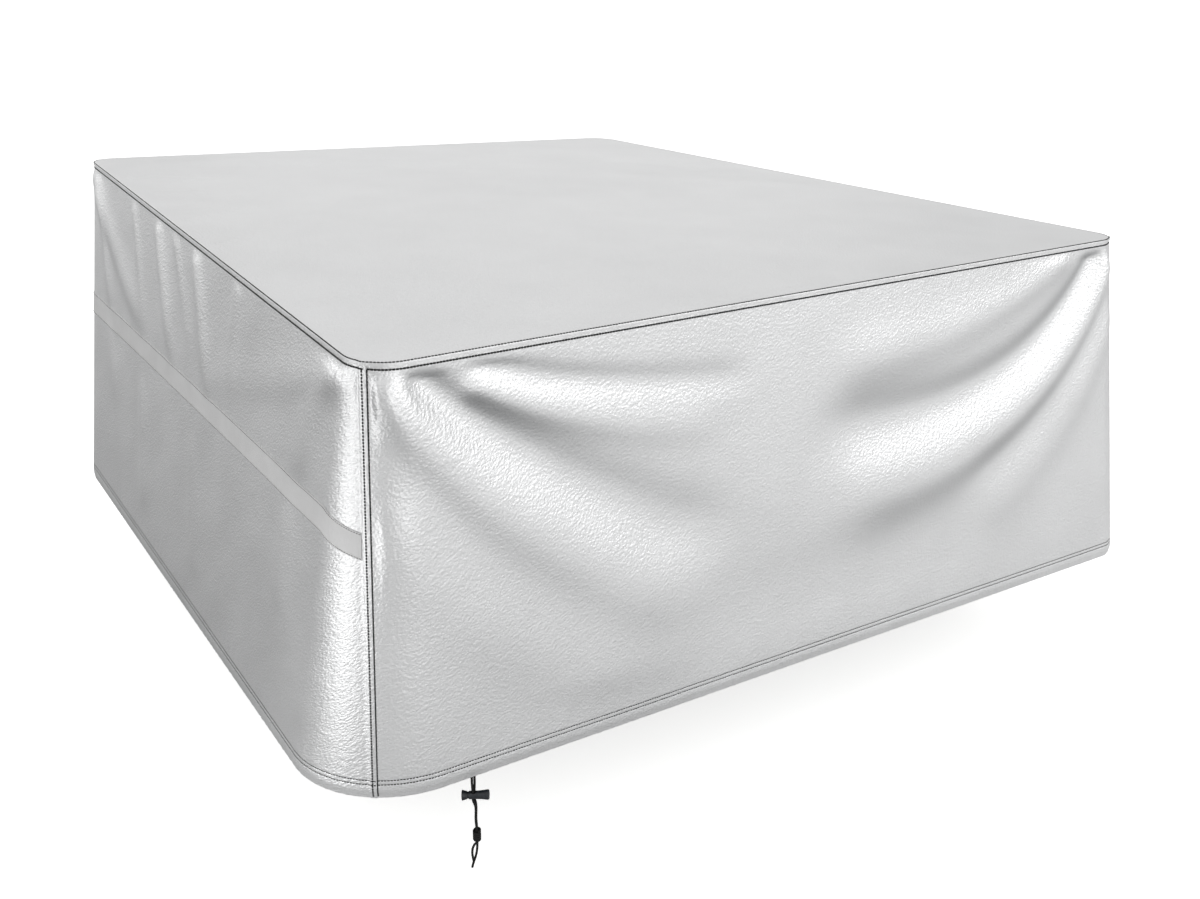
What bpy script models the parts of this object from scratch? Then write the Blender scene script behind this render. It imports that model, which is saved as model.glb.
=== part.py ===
"""Fitted patio furniture cover of silver coated cloth, hollow and open below, with a drawcord and its lock.

Metres, +Z up. X runs along the front panel, which faces -Y. The left panel faces -X, and the near
corner is where the two meet. The origin is the point under the middle of the top, and the sides hang
down from there.
"""

import math

import bmesh
import bpy
from mathutils import Vector

COVER_WIDTH = 1.60
COVER_DEPTH = 1.80
SIDE_HEIGHT = 0.735
CLOTH_THICKNESS = 0.0015
HEM_THICKNESS = 0.0030
GAP = 0.0003
LAP_STEP = CLOTH_THICKNESS + GAP + 0.0001

# Each corner bulges or hangs a little differently from the others. Plan offsets are from the nominal
# rectangle, heights from the origin, and the seam share says where the corner seam crosses the rounded
# corner.
CORNER_FIELDS = (
    "name", "side_x", "side_y",
    "top_dx", "top_dy", "top_z", "top_radius", "top_seam",
    "hem_dx", "hem_dy", "hem_z", "hem_radius", "hem_seam",
)
CORNERS = (
    ("near", -1, -1, -0.005, -0.008, -0.010, 0.063, 0.43, -0.090, 0.002, -0.706, 0.183, 0.618),
    ("right", 1, -1, -0.008, 0.007, -0.007, 0.056, 0.50, 0.113, -0.037, -0.712, 0.045, 0.50),
    ("back", 1, 1, -0.041, 0.028, -0.008, 0.061, 0.50, 0.095, 0.030, -0.738, 0.110, 0.50),
    ("left", -1, 1, 0.033, -0.001, 0.033, 0.062, 0.50, -0.088, -0.007, -0.762, 0.108, 0.50),
)

# The top panel's edge, from the lower end of its turned-down lip to where it is flat: how far in from
# the side and how far below the flat top each line lies.
TOP_EDGE_FIELDS = ("inset", "drop")
TOP_EDGE = ((0.0, 0.0070), (0.0, 0.0035), (0.0012, 0.0015), (0.0040, 0.0006), (0.0250, 0.0))
LIP_ROWS = 2
TOP_RINGS = (0.50,)
SIDE_TOP_DROP = 0.0045

# A corner seam: the panel that ends there rises over the one that starts there, and the lip rises
# over both.
LAP_RAMP_START = -0.0110
LAP_RAMP_END = -0.0060
LAP_UNDER_EDGE = -0.0045
LAP_OVER_EDGE = 0.0030
LIP_RAMP_END = 0.0080
ARC_COLUMNS = 3

HEM_HEIGHT = 0.034
HEM_TUCK = 0.004
HEM_TUCK_HEIGHT = 0.020
HEM_TUCK_BEND = 0.009
HEM_TURN_STEP = 0.0044
TOP_LINE_DROP = 0.008
RELIEF_CLEAR_TOP = 0.02
RELIEF_FULL_TOP = 0.09
RELIEF_CLEAR_SEAM = 0.014
RELIEF_FULL_SEAM = 0.050
RELIEF_HEM_FROM = 0.78
RELIEF_HEM_SHARE = 0.25

PANEL_FIELDS = ("name", "from_corner", "straight_columns", "rows")
PANELS = (
    ("front_panel", "near", 23, (0.04, 0.10, 0.16, 0.22, 0.28, 0.34, 0.40, 0.47, 0.55, 0.65, 0.78)),
    ("right_panel", "right", 11, (0.10, 0.20, 0.31, 0.43, 0.56, 0.70, 0.84)),
    ("back_panel", "back", 11, (0.10, 0.20, 0.31, 0.43, 0.56, 0.70, 0.84)),
    ("left_panel", "left", 20, (0.06, 0.14, 0.23, 0.54, 0.63, 0.72, 0.82)),
)

# The band on the left panel: share of the way down at the panel's two ends, upper and lower edge.
BAND_THICKNESS = 0.0010
BAND_UPPER = (0.395, 0.322)
BAND_LOWER = (0.458, 0.382)
BAND_CORNER_DIP = 0.046
BAND_FIRST_COLUMN = 3
BAND_LAST_COLUMN = -3
BAND_STIFFENS = 0.75
BAND_REACH = 0.055

# A fold is a ridge (positive height) or a trough along a curve bent by its middle point. Points are
# shares of the panel's width and of the way down, heights and half widths are in metres at the curve's
# two ends.
FOLD_FIELDS = (
    "start_s", "start_t", "bend_s", "bend_t", "end_s", "end_t",
    "start_height", "end_height", "start_width", "end_width",
)
FOLDS = {
    "front_panel": (
        (0.035, 0.03, 0.20, 0.360, 0.43, 0.610, -0.014, -0.004, 0.022, 0.050),
        (0.035, 0.06, 0.20, 0.520, 0.43, 0.740, 0.014, 0.003, 0.026, 0.060),
        (0.050, 0.02, 0.22, 0.110, 0.44, 0.180, -0.007, -0.003, 0.018, 0.030),
        (0.060, 0.05, 0.20, 0.190, 0.46, 0.320, 0.005, 0.002, 0.030, 0.050),
        (0.050, 0.20, 0.17, 0.640, 0.44, 0.900, -0.004, -0.003, 0.040, 0.070),
        (0.975, 0.03, 0.80, 0.300, 0.49, 0.375, -0.015, -0.005, 0.022, 0.048),
        (0.980, 0.07, 0.83, 0.480, 0.49, 0.520, 0.014, 0.004, 0.028, 0.060),
        (0.975, 0.12, 0.90, 0.440, 0.70, 0.640, -0.007, -0.003, 0.028, 0.055),
        (0.970, 0.28, 0.93, 0.560, 0.78, 0.800, 0.005, 0.003, 0.040, 0.070),
        (0.048, 0.10, 0.05, 0.500, 0.06, 0.920, 0.003, 0.005, 0.018, 0.022),
    ),
    "left_panel": (
        (0.220, 0.00, 0.36, 0.080, 0.375, 0.42, 0.009, 0.006, 0.050, 0.055),
        (0.380, 0.00, 0.43, 0.150, 0.425, 0.42, -0.007, -0.004, 0.040, 0.045),
        (0.475, 0.00, 0.48, 0.150, 0.490, 0.35, 0.005, 0.003, 0.026, 0.030),
        (0.550, 0.00, 0.56, 0.150, 0.570, 0.35, -0.006, -0.004, 0.045, 0.045),
        (0.620, 0.00, 0.65, 0.150, 0.680, 0.33, 0.008, 0.004, 0.040, 0.045),
        (0.710, 0.04, 0.73, 0.200, 0.770, 0.36, -0.005, -0.003, 0.050, 0.055),
        (0.965, 0.02, 0.94, 0.100, 0.900, 0.26, 0.005, 0.002, 0.016, 0.030),
        (0.955, 0.30, 0.94, 0.600, 0.925, 0.96, -0.007, -0.010, 0.035, 0.042),
        (0.440, 1.00, 0.50, 0.660, 0.790, 0.42, 0.010, 0.005, 0.075, 0.060),
        (0.320, 0.96, 0.38, 0.600, 0.640, 0.44, -0.010, -0.005, 0.075, 0.060),
        (0.610, 0.90, 0.66, 0.750, 0.710, 0.62, -0.004, -0.002, 0.035, 0.035),
    ),
    "right_panel": (
        (0.030, 0.04, 0.24, 0.450, 0.50, 0.520, -0.010, -0.004, 0.030, 0.060),
        (0.030, 0.10, 0.24, 0.620, 0.50, 0.680, 0.010, 0.004, 0.035, 0.070),
        (0.970, 0.04, 0.78, 0.400, 0.52, 0.480, -0.010, -0.004, 0.030, 0.060),
        (0.970, 0.10, 0.78, 0.560, 0.52, 0.640, 0.010, 0.004, 0.035, 0.070),
    ),
    "back_panel": (
        (0.030, 0.04, 0.26, 0.380, 0.52, 0.450, -0.010, -0.004, 0.030, 0.060),
        (0.030, 0.10, 0.26, 0.540, 0.52, 0.600, 0.010, 0.004, 0.035, 0.070),
        (0.970, 0.04, 0.76, 0.480, 0.54, 0.560, -0.010, -0.004, 0.030, 0.060),
        (0.970, 0.10, 0.76, 0.640, 0.54, 0.720, 0.010, 0.004, 0.035, 0.070),
    ),
}
FOLD_SAMPLES = 16

CORD_DIAMETER = 0.0038
CORD_SHARE = 0.1281
CORD_BEND_SIDES = 2
LOCK_TURN = math.radians(-33.0)
LOCK_TILT = math.radians(-2.5)
LOCK_DROP = 0.0388
LOCK_BACK = HEM_THICKNESS + HEM_TUCK + CORD_DIAMETER / 2 + 0.00135

# Routes of the two strands from behind the hem through the lock and the knot, in the lock's own frame, in
# millimetres: along the lock, towards the front, and up.
STRAND_FIELDS = ("along", "front", "up")
STRAND_A = (
    (-2.15, 0.0, 51), (-2.15, 0.0, 27), (-2.02, 0.74, 22), (-1.69, 1.33, 17), (-1.3, 1.75, 9),
    (-1.3, 1.75, -8), (0.4, 2.1, -14), (2.5, 2.1, -21), (2.6, 2.1, -30), (2.1, 2.1, -48),
    (2.9, 2.06, -61), (3.0, 2.06, -74), (3.0, 2.06, -89), (-1.2, 2.1, -95), (-4.2, 2.1, -102), (-5.2, 2.1, -109),
    (-5.1, 2.1, -116), (-4.1, 2.1, -124), (-2.8, 2.1, -131),
)
STRAND_B = (
    (2.15, 0.0, 51), (2.15, 0.0, 27), (2.02, -0.74, 22), (1.69, -1.33, 17), (1.3, -1.75, 9),
    (1.3, -1.75, -8), (2.2, -2.1, -14), (3.1, -2.1, -21), (3.0, -2.1, -30), (2.4, -2.1, -48),
    (3.0, -2.06, -61), (3.0, -2.06, -89), (2.8, -2.1, -98), (2.1, -2.1, -108), (0.6, -2.1, -117),
    (-1.4, -2.1, -125), (-3.6, -2.1, -132), (-5.6, -2.1, -139), (-6.8, -2.1, -145),
)
CORD_STEP = 0.0075
CURVE_PARTS = 12
KNOT_CENTRE_ALONG = 3.0
KNOT_TOP = -67.4
KNOT_TURNS = 4.5
KNOT_PITCH = 4.3
KNOT_HALF_ALONG = 4.8
KNOT_HALF_FRONT = 6.5
KNOT_POINTS_A_TURN = 14
KNOT_START_ANGLE = math.radians(-60)
KNOT_STUB = ((-1.7, -1.2, -0.5), (-3.4, -1.6, -1.6))

# The lock's turned pieces, in millimetres along the lock from the cords and out from its axis.
LOCK_PROFILE_FIELDS = ("along", "radius")
BARREL_PROFILE = (
    (12.0, 0.0), (12.0, 5.8), (-7.3, 5.8), (-7.3, 6.4), (-6.8, 6.8), (1.0, 6.5), (9.0, 6.7),
    (16.5, 7.4), (22.0, 8.1), (23.8, 7.9), (24.6, 6.9), (24.6, 0.0),
)
PLUNGER_PROFILE = (
    (8.0, 0.0), (8.0, 5.0), (7.5, 5.5), (-10.7, 5.5), (-10.7, 6.5), (-12.6, 6.8),
    (-15.2, 7.5), (-17.3, 8.4), (-18.1, 8.3), (-18.6, 7.7), (-18.6, 0.0),
)
LOCK_STEPS = 40
PLUNGER_TRAVEL = 0.003
CORD_HOLE_RADIUS = 0.00445
CORD_HOLE_DEPTH = 0.030

SILVER = (0.62, 0.63, 0.64, 1.0)
BAND_GREY = (0.52, 0.53, 0.54, 1.0)
CORD_BLACK = (0.010, 0.010, 0.011, 1.0)
LOCK_BLACK = (0.016, 0.018, 0.021, 1.0)

for existing in list(bpy.data.objects):
    bpy.data.objects.remove(existing, do_unlink=True)


def rows_of(fields, table):
    return [dict(zip(fields, row)) for row in table]


def smooth_step(value, low, high):
    share = min(max((value - low) / (high - low), 0.0), 1.0)
    return share * share * (3.0 - 2.0 * share)


def new_collection(name):
    collection = bpy.data.collections.new(name)
    bpy.context.scene.collection.children.link(collection)
    return collection


def plain_material(name, colour, roughness, metallic):
    material = bpy.data.materials.new(name)
    material.use_nodes = True
    shader = material.node_tree.nodes["Principled BSDF"]
    shader.inputs["Base Color"].default_value = colour
    shader.inputs["Roughness"].default_value = roughness
    shader.inputs["Metallic"].default_value = metallic
    return material


def add_object(name, data, material, collection=None):
    made = bpy.data.objects.new(name, data)
    (collection or COVER).objects.link(made)
    if material:
        data.materials.append(material)
    return made


class Outline:
    """The cover's rounded plan at one level, walked anticlockwise by distance from the near corner."""

    def __init__(self, level):
        self.pieces = []
        self.seam = {}
        self.arc_share = {}
        self.corner = {}
        corners = rows_of(CORNER_FIELDS, CORNERS)
        for corner in corners:
            self.corner[corner["name"]] = Vector((
                corner["side_x"] * COVER_WIDTH / 2 + corner[level + "_dx"],
                corner["side_y"] * COVER_DEPTH / 2 + corner[level + "_dy"],
                corner[level + "_z"],
            ))
        places = [self.corner[corner["name"]].to_2d() for corner in corners]
        distance = 0.0
        ends = []
        for index, corner in enumerate(corners):
            place = places[index]
            arriving = (place - places[index - 1]).normalized()
            leaving = (places[(index + 1) % 4] - place).normalized()
            turn = math.acos(max(-1.0, min(1.0, arriving.dot(leaving))))
            radius = corner[level + "_radius"]
            reach = radius * math.tan(turn / 2)
            centre = place - arriving * reach + Vector((-arriving.y, arriving.x)) * radius
            arc_start = place - arriving * reach
            ends.append((arc_start, place + leaving * reach, centre, leaving, turn, radius))
        for index, corner in enumerate(corners):
            arc_start, arc_end, centre, leaving, turn, radius = ends[index]
            length = radius * turn
            first_angle = math.atan2(arc_start.y - centre.y, arc_start.x - centre.x)
            self.pieces.append((distance, length, "arc", centre, radius, first_angle))
            seam = distance + length * corner[level + "_seam"]
            self.seam[corner["name"]] = seam
            self.arc_share[corner["name"]] = (seam - distance, length - (seam - distance))
            distance += length
            straight = ends[(index + 1) % 4][0] - arc_end
            self.pieces.append((distance, straight.length, "line", arc_end, leaving, 0.0))
            distance += straight.length
        self.total = distance

    def at(self, distance):
        """Plan point and outward direction at a distance along the outline."""
        distance %= self.total
        for start, length, kind, base, second, first_angle in self.pieces:
            if distance <= start + length + 1e-9:
                break
        along = distance - start
        if kind == "line":
            return base + second * along, Vector((second.y, -second.x))
        angle = first_angle + along / second
        outward = Vector((math.cos(angle), math.sin(angle)))
        return base + outward * second, outward

    def height(self, place):
        """Height of this level over a plan point, blended from the four corners' heights."""
        across = min(max(place.x / COVER_WIDTH + 0.5, 0.0), 1.0)
        back = min(max(place.y / COVER_DEPTH + 0.5, 0.0), 1.0)
        front_z = self.corner["near"].z * (1 - across) + self.corner["right"].z * across
        back_z = self.corner["left"].z * (1 - across) + self.corner["back"].z * across
        return front_z * (1 - back) + back_z * back


def curve_point(fold, share):
    """Point on a fold's curve, as shares of the panel's width and height."""
    first, middle, last = (1 - share) ** 2, 2 * share * (1 - share), share ** 2
    return (
        first * fold["start_s"] + middle * fold["bend_s"] + last * fold["end_s"],
        first * fold["start_t"] + middle * fold["bend_t"] + last * fold["end_t"],
    )


def fold_relief(fold, across, down, width, height):
    """How far one fold lifts the cloth at a point of a panel that is width by height."""
    nearest = None
    for step in range(FOLD_SAMPLES):
        low = curve_point(fold, step / FOLD_SAMPLES)
        high = curve_point(fold, (step + 1) / FOLD_SAMPLES)
        run = Vector(((high[0] - low[0]) * width, (high[1] - low[1]) * height))
        way = Vector(((across - low[0]) * width, (down - low[1]) * height))
        share = min(max(way.dot(run) / run.length_squared, 0.0), 1.0)
        apart = (way - run * share).length
        if nearest is None or apart < nearest[0]:
            nearest = (apart, (step + share) / FOLD_SAMPLES)
    apart, share = nearest
    lift = fold["start_height"] + (fold["end_height"] - fold["start_height"]) * share
    spread = fold["start_width"] + (fold["end_width"] - fold["start_width"]) * share
    return lift * math.exp(-((apart / spread) ** 2))


def band_line(ends, across, corner_share=0.0):
    """Share of the way down of a band edge, which dips a little as it turns the near corner."""
    return ends[0] + (ends[1] - ends[0]) * across + BAND_CORNER_DIP * max(corner_share, 0.0)


class Panel:
    """One side of the cover, from its own corner's seam to the next corner's."""

    def __init__(self, row):
        names = [corner[0] for corner in CORNERS]
        self.name = row["name"]
        self.first = row["from_corner"]
        self.second = names[(names.index(self.first) + 1) % 4]
        self.folds = rows_of(FOLD_FIELDS, FOLDS[self.name])
        self.begin = [level.seam[self.first] for level in LEVELS]
        self.finish = [level.seam[self.second] for level in LEVELS]
        for index, level in enumerate(LEVELS):
            if self.finish[index] < self.begin[index]:
                self.finish[index] += level.total
        self.columns = self.column_list(row["straight_columns"])
        self.row_shares = row["rows"]

    def column_list(self, straight_columns):
        """Each column as its distances along the two outlines, with its offset from the nearer seam."""
        starts = []
        for offset in (LAP_UNDER_EDGE, LAP_OVER_EDGE, LIP_RAMP_END):
            starts.append([begin + offset for begin in self.begin])
        arcs = [level.arc_share[self.first][1] - LIP_RAMP_END for level in LEVELS]
        for step in range(1, ARC_COLUMNS + 1):
            share = step / ARC_COLUMNS
            starts.append([
                begin + LIP_RAMP_END + arc * share for begin, arc in zip(self.begin, arcs)
            ])
        ends = []
        for offset in (LAP_OVER_EDGE, LAP_UNDER_EDGE, LAP_RAMP_END, LAP_RAMP_START):
            ends.append([finish + offset for finish in self.finish])
        arcs = [level.arc_share[self.second][0] + LAP_RAMP_START for level in LEVELS]
        for step in range(1, ARC_COLUMNS + 1):
            share = step / ARC_COLUMNS
            ends.append([
                finish + LAP_RAMP_START - arc * share for finish, arc in zip(self.finish, arcs)
            ])
        ends.reverse()
        middle = []
        for step in range(1, straight_columns):
            share = step / straight_columns
            middle.append([
                low + (high - low) * share for low, high in zip(starts[-1], ends[0])
            ])
        return starts + middle + ends

    def across(self, distances):
        """Share of the way along this panel's upper edge."""
        return (distances[0] - self.begin[0]) / (self.finish[0] - self.begin[0])

    def corner_share(self, distances):
        """Share of the way round the last corner's arc."""
        arc = TOP_LEVEL.arc_share[self.second][0]
        return max((distances[0] - self.finish[0] + arc) / arc, 0.0)

    def lap(self, distances):
        """1 where this panel lies over the next one, falling to 0 beyond the seam's ramp."""
        offset = distances[0] - self.finish[0]
        return smooth_step(offset, LAP_RAMP_START, LAP_RAMP_END)

    def surface(self, distances, down, extra=0.0):
        """Point on the outer face at a share of the way down, pushed out by extra."""
        point, outward = self.plain_surface(distances, down)
        lift = LAP_STEP * self.lap(distances) + self.relief(distances, point, down) + extra
        return point + outward * lift

    def plain_surface(self, distances, down):
        """Point at a share of the way down before laps and folds, with its outward direction."""
        (top_place, top_out), (hem_place, hem_out) = [
            level.at(distance) for level, distance in zip(LEVELS, distances)
        ]
        top_point = top_place.to_3d()
        top_point.z = TOP_LEVEL.height(top_place) - SIDE_TOP_DROP
        hem_point = hem_place.to_3d()
        hem_point.z = HEM_LEVEL.height(hem_place)
        point = top_point.lerp(hem_point, down)
        return point, top_out.lerp(hem_out, down).to_3d().normalized()

    def relief(self, distances, point, down):
        """Depth of the folds and of the hem's tuck at a point of the plain surface."""
        level_start = TOP_LEVEL.corner[self.first].lerp(HEM_LEVEL.corner[self.first], down).to_2d()
        level_end = TOP_LEVEL.corner[self.second].lerp(HEM_LEVEL.corner[self.second], down).to_2d()
        run = level_end - level_start
        across = (point.to_2d() - level_start).dot(run) / run.length_squared
        total = sum(fold_relief(fold, across, down, run.length, SIDE_HEIGHT) for fold in self.folds)
        seam_offset = min(distances[1] - self.begin[1], self.finish[1] - distances[1])
        total *= smooth_step(seam_offset, RELIEF_CLEAR_SEAM, RELIEF_FULL_SEAM)
        total *= smooth_step(down * SIDE_HEIGHT, RELIEF_CLEAR_TOP, RELIEF_FULL_TOP)
        total *= 1.0 - (1.0 - RELIEF_HEM_SHARE) * smooth_step(down, RELIEF_HEM_FROM, 1.0)
        if self.name == "left_panel":
            middle = (band_line(BAND_UPPER, across) + band_line(BAND_LOWER, across)) / 2
            total *= 1.0 - BAND_STIFFENS * math.exp(-(((down - middle) * SIDE_HEIGHT / BAND_REACH) ** 2))
        total -= HEM_TUCK * (1.0 - smooth_step((1.0 - down) * SIDE_HEIGHT, 0.0, HEM_TUCK_HEIGHT))
        return total


def lay_sheet(name, columns, rows, place, thickness, material, weight=None, closed=False):
    """An open grid placed by a function and given its thickness inwards, or a share of it by point."""
    grid = bmesh.new()
    bmesh.ops.create_grid(grid, x_segments=columns - 1, y_segments=rows - 1, size=1.0)
    grid.verts.ensure_lookup_table()
    weights = []
    for vertex in grid.verts:
        column = round((vertex.co.x + 1.0) / 2.0 * (columns - 1))
        row = round((vertex.co.y + 1.0) / 2.0 * (rows - 1))
        vertex.co = place(column, row)
        weights.append(weight(column, row) if weight else 1.0)
    mesh = bpy.data.meshes.new(name)
    if closed:
        bmesh.ops.remove_doubles(grid, verts=grid.verts, dist=1e-6)
    grid.to_mesh(mesh)
    grid.free()
    made = add_object(name, mesh, material)
    mesh.shade_smooth()
    shell = made.modifiers.new("cloth thickness", "SOLIDIFY")
    shell.thickness = thickness
    shell.offset = -1.0
    shell.use_quality_normals = True
    if weight:
        group = made.vertex_groups.new(name="layers")
        for index, share in enumerate(weights):
            group.add([index], share, "REPLACE")
        shell.vertex_group = group.name
    return made


def row_shares(panel, distances):
    """Shares of the way down for one column's rows, from the hem's lower edge to the panel's upper edge."""
    lines = list(panel.row_shares)
    if panel.name == "left_panel":
        for ends in (BAND_UPPER, BAND_LOWER):
            lines.append(band_line(ends, panel.across(distances), panel.corner_share(distances)))
    lines += [0.0, TOP_LINE_DROP / SIDE_HEIGHT, 1.0]
    for above_hem_edge in (HEM_HEIGHT + HEM_TURN_STEP, HEM_HEIGHT, HEM_TUCK_HEIGHT, HEM_TUCK_BEND):
        lines.append(1.0 - above_hem_edge / SIDE_HEIGHT)
    return sorted(lines, reverse=True)


def build_panel(panel, material):
    shares = [row_shares(panel, distances) for distances in panel.columns]
    rows = len(shares[0])
    hem_share = 1.0 - (HEM_HEIGHT + HEM_TURN_STEP / 2) / SIDE_HEIGHT

    def place(column, row):
        return panel.surface(panel.columns[column], shares[column][row])

    def weight(column, row):
        in_hem = shares[column][row] > hem_share and panel.lap(panel.columns[column]) == 0.0
        return 1.0 if in_hem else CLOTH_THICKNESS / HEM_THICKNESS

    return lay_sheet(panel.name, len(panel.columns), rows, place, HEM_THICKNESS, material, weight)


def build_band(panel, material):
    """The band sewn across the left panel, along two of the panel's own lines."""
    columns = panel.columns[BAND_FIRST_COLUMN:BAND_LAST_COLUMN]
    out = GAP + BAND_THICKNESS

    def place(column, row):
        distances = columns[column]
        ends = BAND_UPPER if row else BAND_LOWER
        down = band_line(ends, panel.across(distances), panel.corner_share(distances))
        return panel.surface(distances, down, out)

    return lay_sheet("side_band", len(columns), 2, place, BAND_THICKNESS, material)


def build_top(panels, material):
    """The top panel with its rolled edge and the lip that covers the side panels' upper edges."""
    around = []
    for panel in panels:
        for distances in panel.columns[:-2]:
            after = distances[0] - panel.begin[0]
            before = distances[0] - panel.finish[0]
            layers = 1.0 + smooth_step(before, LAP_RAMP_START, LAP_RAMP_END)
            if after < (LAP_OVER_EDGE + LIP_RAMP_END) / 2:
                layers += 1.0
            around.append((panel, distances, LAP_STEP * layers))
    around.append(around[0])
    edge = rows_of(TOP_EDGE_FIELDS, TOP_EDGE)
    rows = len(edge) + len(TOP_RINGS) + 1

    def place(column, row):
        panel, distances, lift = around[column]
        if row < len(edge):
            down = (edge[row]["drop"] - SIDE_TOP_DROP) / SIDE_HEIGHT
            point, outward = panel.plain_surface(distances, max(down, 0.0) if row < LIP_ROWS else 0.0)
            share = 1.0 - edge[row]["inset"] / edge[-1]["inset"]
            spot = point + outward * (lift * share - edge[row]["inset"])
            drop = edge[row]["drop"]
        else:
            rings = TOP_RINGS + (0.0,)
            point, outward = panel.plain_surface(distances, 0.0)
            spot = (point - outward * edge[-1]["inset"]) * rings[row - len(edge)]
            drop = 0.0
        return Vector((spot.x, spot.y, top_height(spot) - drop))

    return lay_sheet("top_panel", len(around), rows, place, CLOTH_THICKNESS, material, closed=True)


def top_height(spot):
    """Height of the top's outer face: the corners' blend, and the cloth's thickness at the origin."""
    middle = TOP_LEVEL.height(Vector((0.0, 0.0)))
    inward = (1.0 - (2 * spot.x / COVER_WIDTH) ** 2) * (1.0 - (2 * spot.y / COVER_DEPTH) ** 2)
    return TOP_LEVEL.height(spot) + max(inward, 0.0) * (CLOTH_THICKNESS - middle)


def smooth_route(points, step):
    """Points spaced evenly along a smooth curve through the given ones."""
    dense = []
    padded = [points[0] * 2 - points[1], *points, points[-1] * 2 - points[-2]]
    for index in range(1, len(padded) - 2):
        before, start, end, after = padded[index - 1:index + 3]
        for part in range(CURVE_PARTS):
            share = part / CURVE_PARTS
            dense.append(
                (start * 2 + (end - before) * share
                 + (before * 2 - start * 5 + end * 4 - after) * share ** 2
                 + (start * 3 - before - end * 3 + after) * share ** 3) / 2
            )
    dense.append(points[-1])
    lengths = [0.0]
    for low, high in zip(dense, dense[1:]):
        lengths.append(lengths[-1] + (high - low).length)
    count = max(2, round(lengths[-1] / step))
    route = []
    index = 0
    for number in range(count + 1):
        target = lengths[-1] * number / count
        while index < len(dense) - 2 and lengths[index + 1] < target:
            index += 1
        share = (target - lengths[index]) / (lengths[index + 1] - lengths[index])
        route.append(dense[index].lerp(dense[index + 1], share))
    return route


def build_tube(name, points, material, parent):
    curve = bpy.data.curves.new(name, "CURVE")
    curve.dimensions = "3D"
    curve.bevel_depth = CORD_DIAMETER / 2
    curve.bevel_resolution = CORD_BEND_SIDES
    curve.use_fill_caps = True
    spline = curve.splines.new("POLY")
    spline.points.add(len(points) - 1)
    for target, point in zip(spline.points, points):
        target.co = (*point, 1.0)
    made = add_object(name, curve, material)
    made.parent = parent
    return made


def strand_points(table):
    return [
        Vector((row["along"], -row["front"], row["up"])) / 1000 for row in rows_of(STRAND_FIELDS, table)
    ]


def knot_points():
    """The wraps of the knot, wound round both strands, with a short free end low on the left."""
    points = []
    count = round(KNOT_TURNS * KNOT_POINTS_A_TURN)
    for number in range(count + 1):
        turn = number / KNOT_POINTS_A_TURN
        angle = KNOT_START_ANGLE + 2 * math.pi * turn
        points.append(Vector((
            KNOT_CENTRE_ALONG + KNOT_HALF_ALONG * math.cos(angle),
            KNOT_HALF_FRONT * math.sin(angle),
            KNOT_TOP - KNOT_PITCH * turn,
        )))
    last = points[-1]
    for shift in KNOT_STUB:
        points.append(last + Vector(shift))
    return [point / 1000 for point in points]


def build_turned(name, profile, material, parent):
    """A piece turned about the lock's axis, which is its own X."""
    mesh = bpy.data.meshes.new(name)
    shape = bmesh.new()
    spots = [
        shape.verts.new((row["along"] / 1000, 0.0, row["radius"] / 1000))
        for row in rows_of(LOCK_PROFILE_FIELDS, profile)
    ]
    for low, high in zip(spots, spots[1:]):
        shape.edges.new((low, high))
    bmesh.ops.spin(
        shape, geom=shape.verts[:] + shape.edges[:], axis=(1.0, 0.0, 0.0), cent=(0.0, 0.0, 0.0),
        angle=2 * math.pi, steps=LOCK_STEPS, use_merge=True,
    )
    bmesh.ops.remove_doubles(shape, verts=shape.verts, dist=1e-6)
    bmesh.ops.recalc_face_normals(shape, faces=shape.faces)
    shape.to_mesh(mesh)
    shape.free()
    mesh.shade_smooth()
    mesh.set_sharp_from_angle(angle=math.radians(35))
    made = add_object(name, mesh, material)
    made.parent = parent
    return made


def cord_hole_cutter(name, stretch, parent):
    """An upright round hole for the two strands, drawn out to one side by the plunger's travel."""
    shape = bmesh.new()
    bmesh.ops.create_cone(
        shape, cap_ends=True, segments=24, radius1=CORD_HOLE_RADIUS, radius2=CORD_HOLE_RADIUS,
        depth=CORD_HOLE_DEPTH,
    )
    for vertex in shape.verts:
        if vertex.co.x < -CORD_HOLE_RADIUS / 10:
            vertex.co.x -= stretch
    mesh = bpy.data.meshes.new(name)
    shape.to_mesh(mesh)
    shape.free()
    cutter = add_object(name, mesh, None, CUTTERS)
    cutter.parent = parent
    cutter.hide_render = True
    cutter.display_type = "WIRE"
    return cutter


def cut(target, cutter):
    hole = target.modifiers.new("cord hole", "BOOLEAN")
    hole.operation = "DIFFERENCE"
    hole.solver = "EXACT"
    hole.object = cutter


COVER = new_collection("patio_furniture_cover")
CUTTERS = new_collection("cutters")
CUTTERS.hide_render = True

TOP_LEVEL = Outline("top")
HEM_LEVEL = Outline("hem")
LEVELS = (TOP_LEVEL, HEM_LEVEL)

panels = [Panel(row) for row in rows_of(PANEL_FIELDS, PANELS)]
for panel in panels:
    build_panel(panel, plain_material(panel.name + "_cloth", SILVER, 0.38, 0.55))
build_top(panels, plain_material("top_panel_cloth", SILVER, 0.50, 0.30))
build_band(panels[3], plain_material("side_band_tape", BAND_GREY, 0.55, 0.20))

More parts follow.
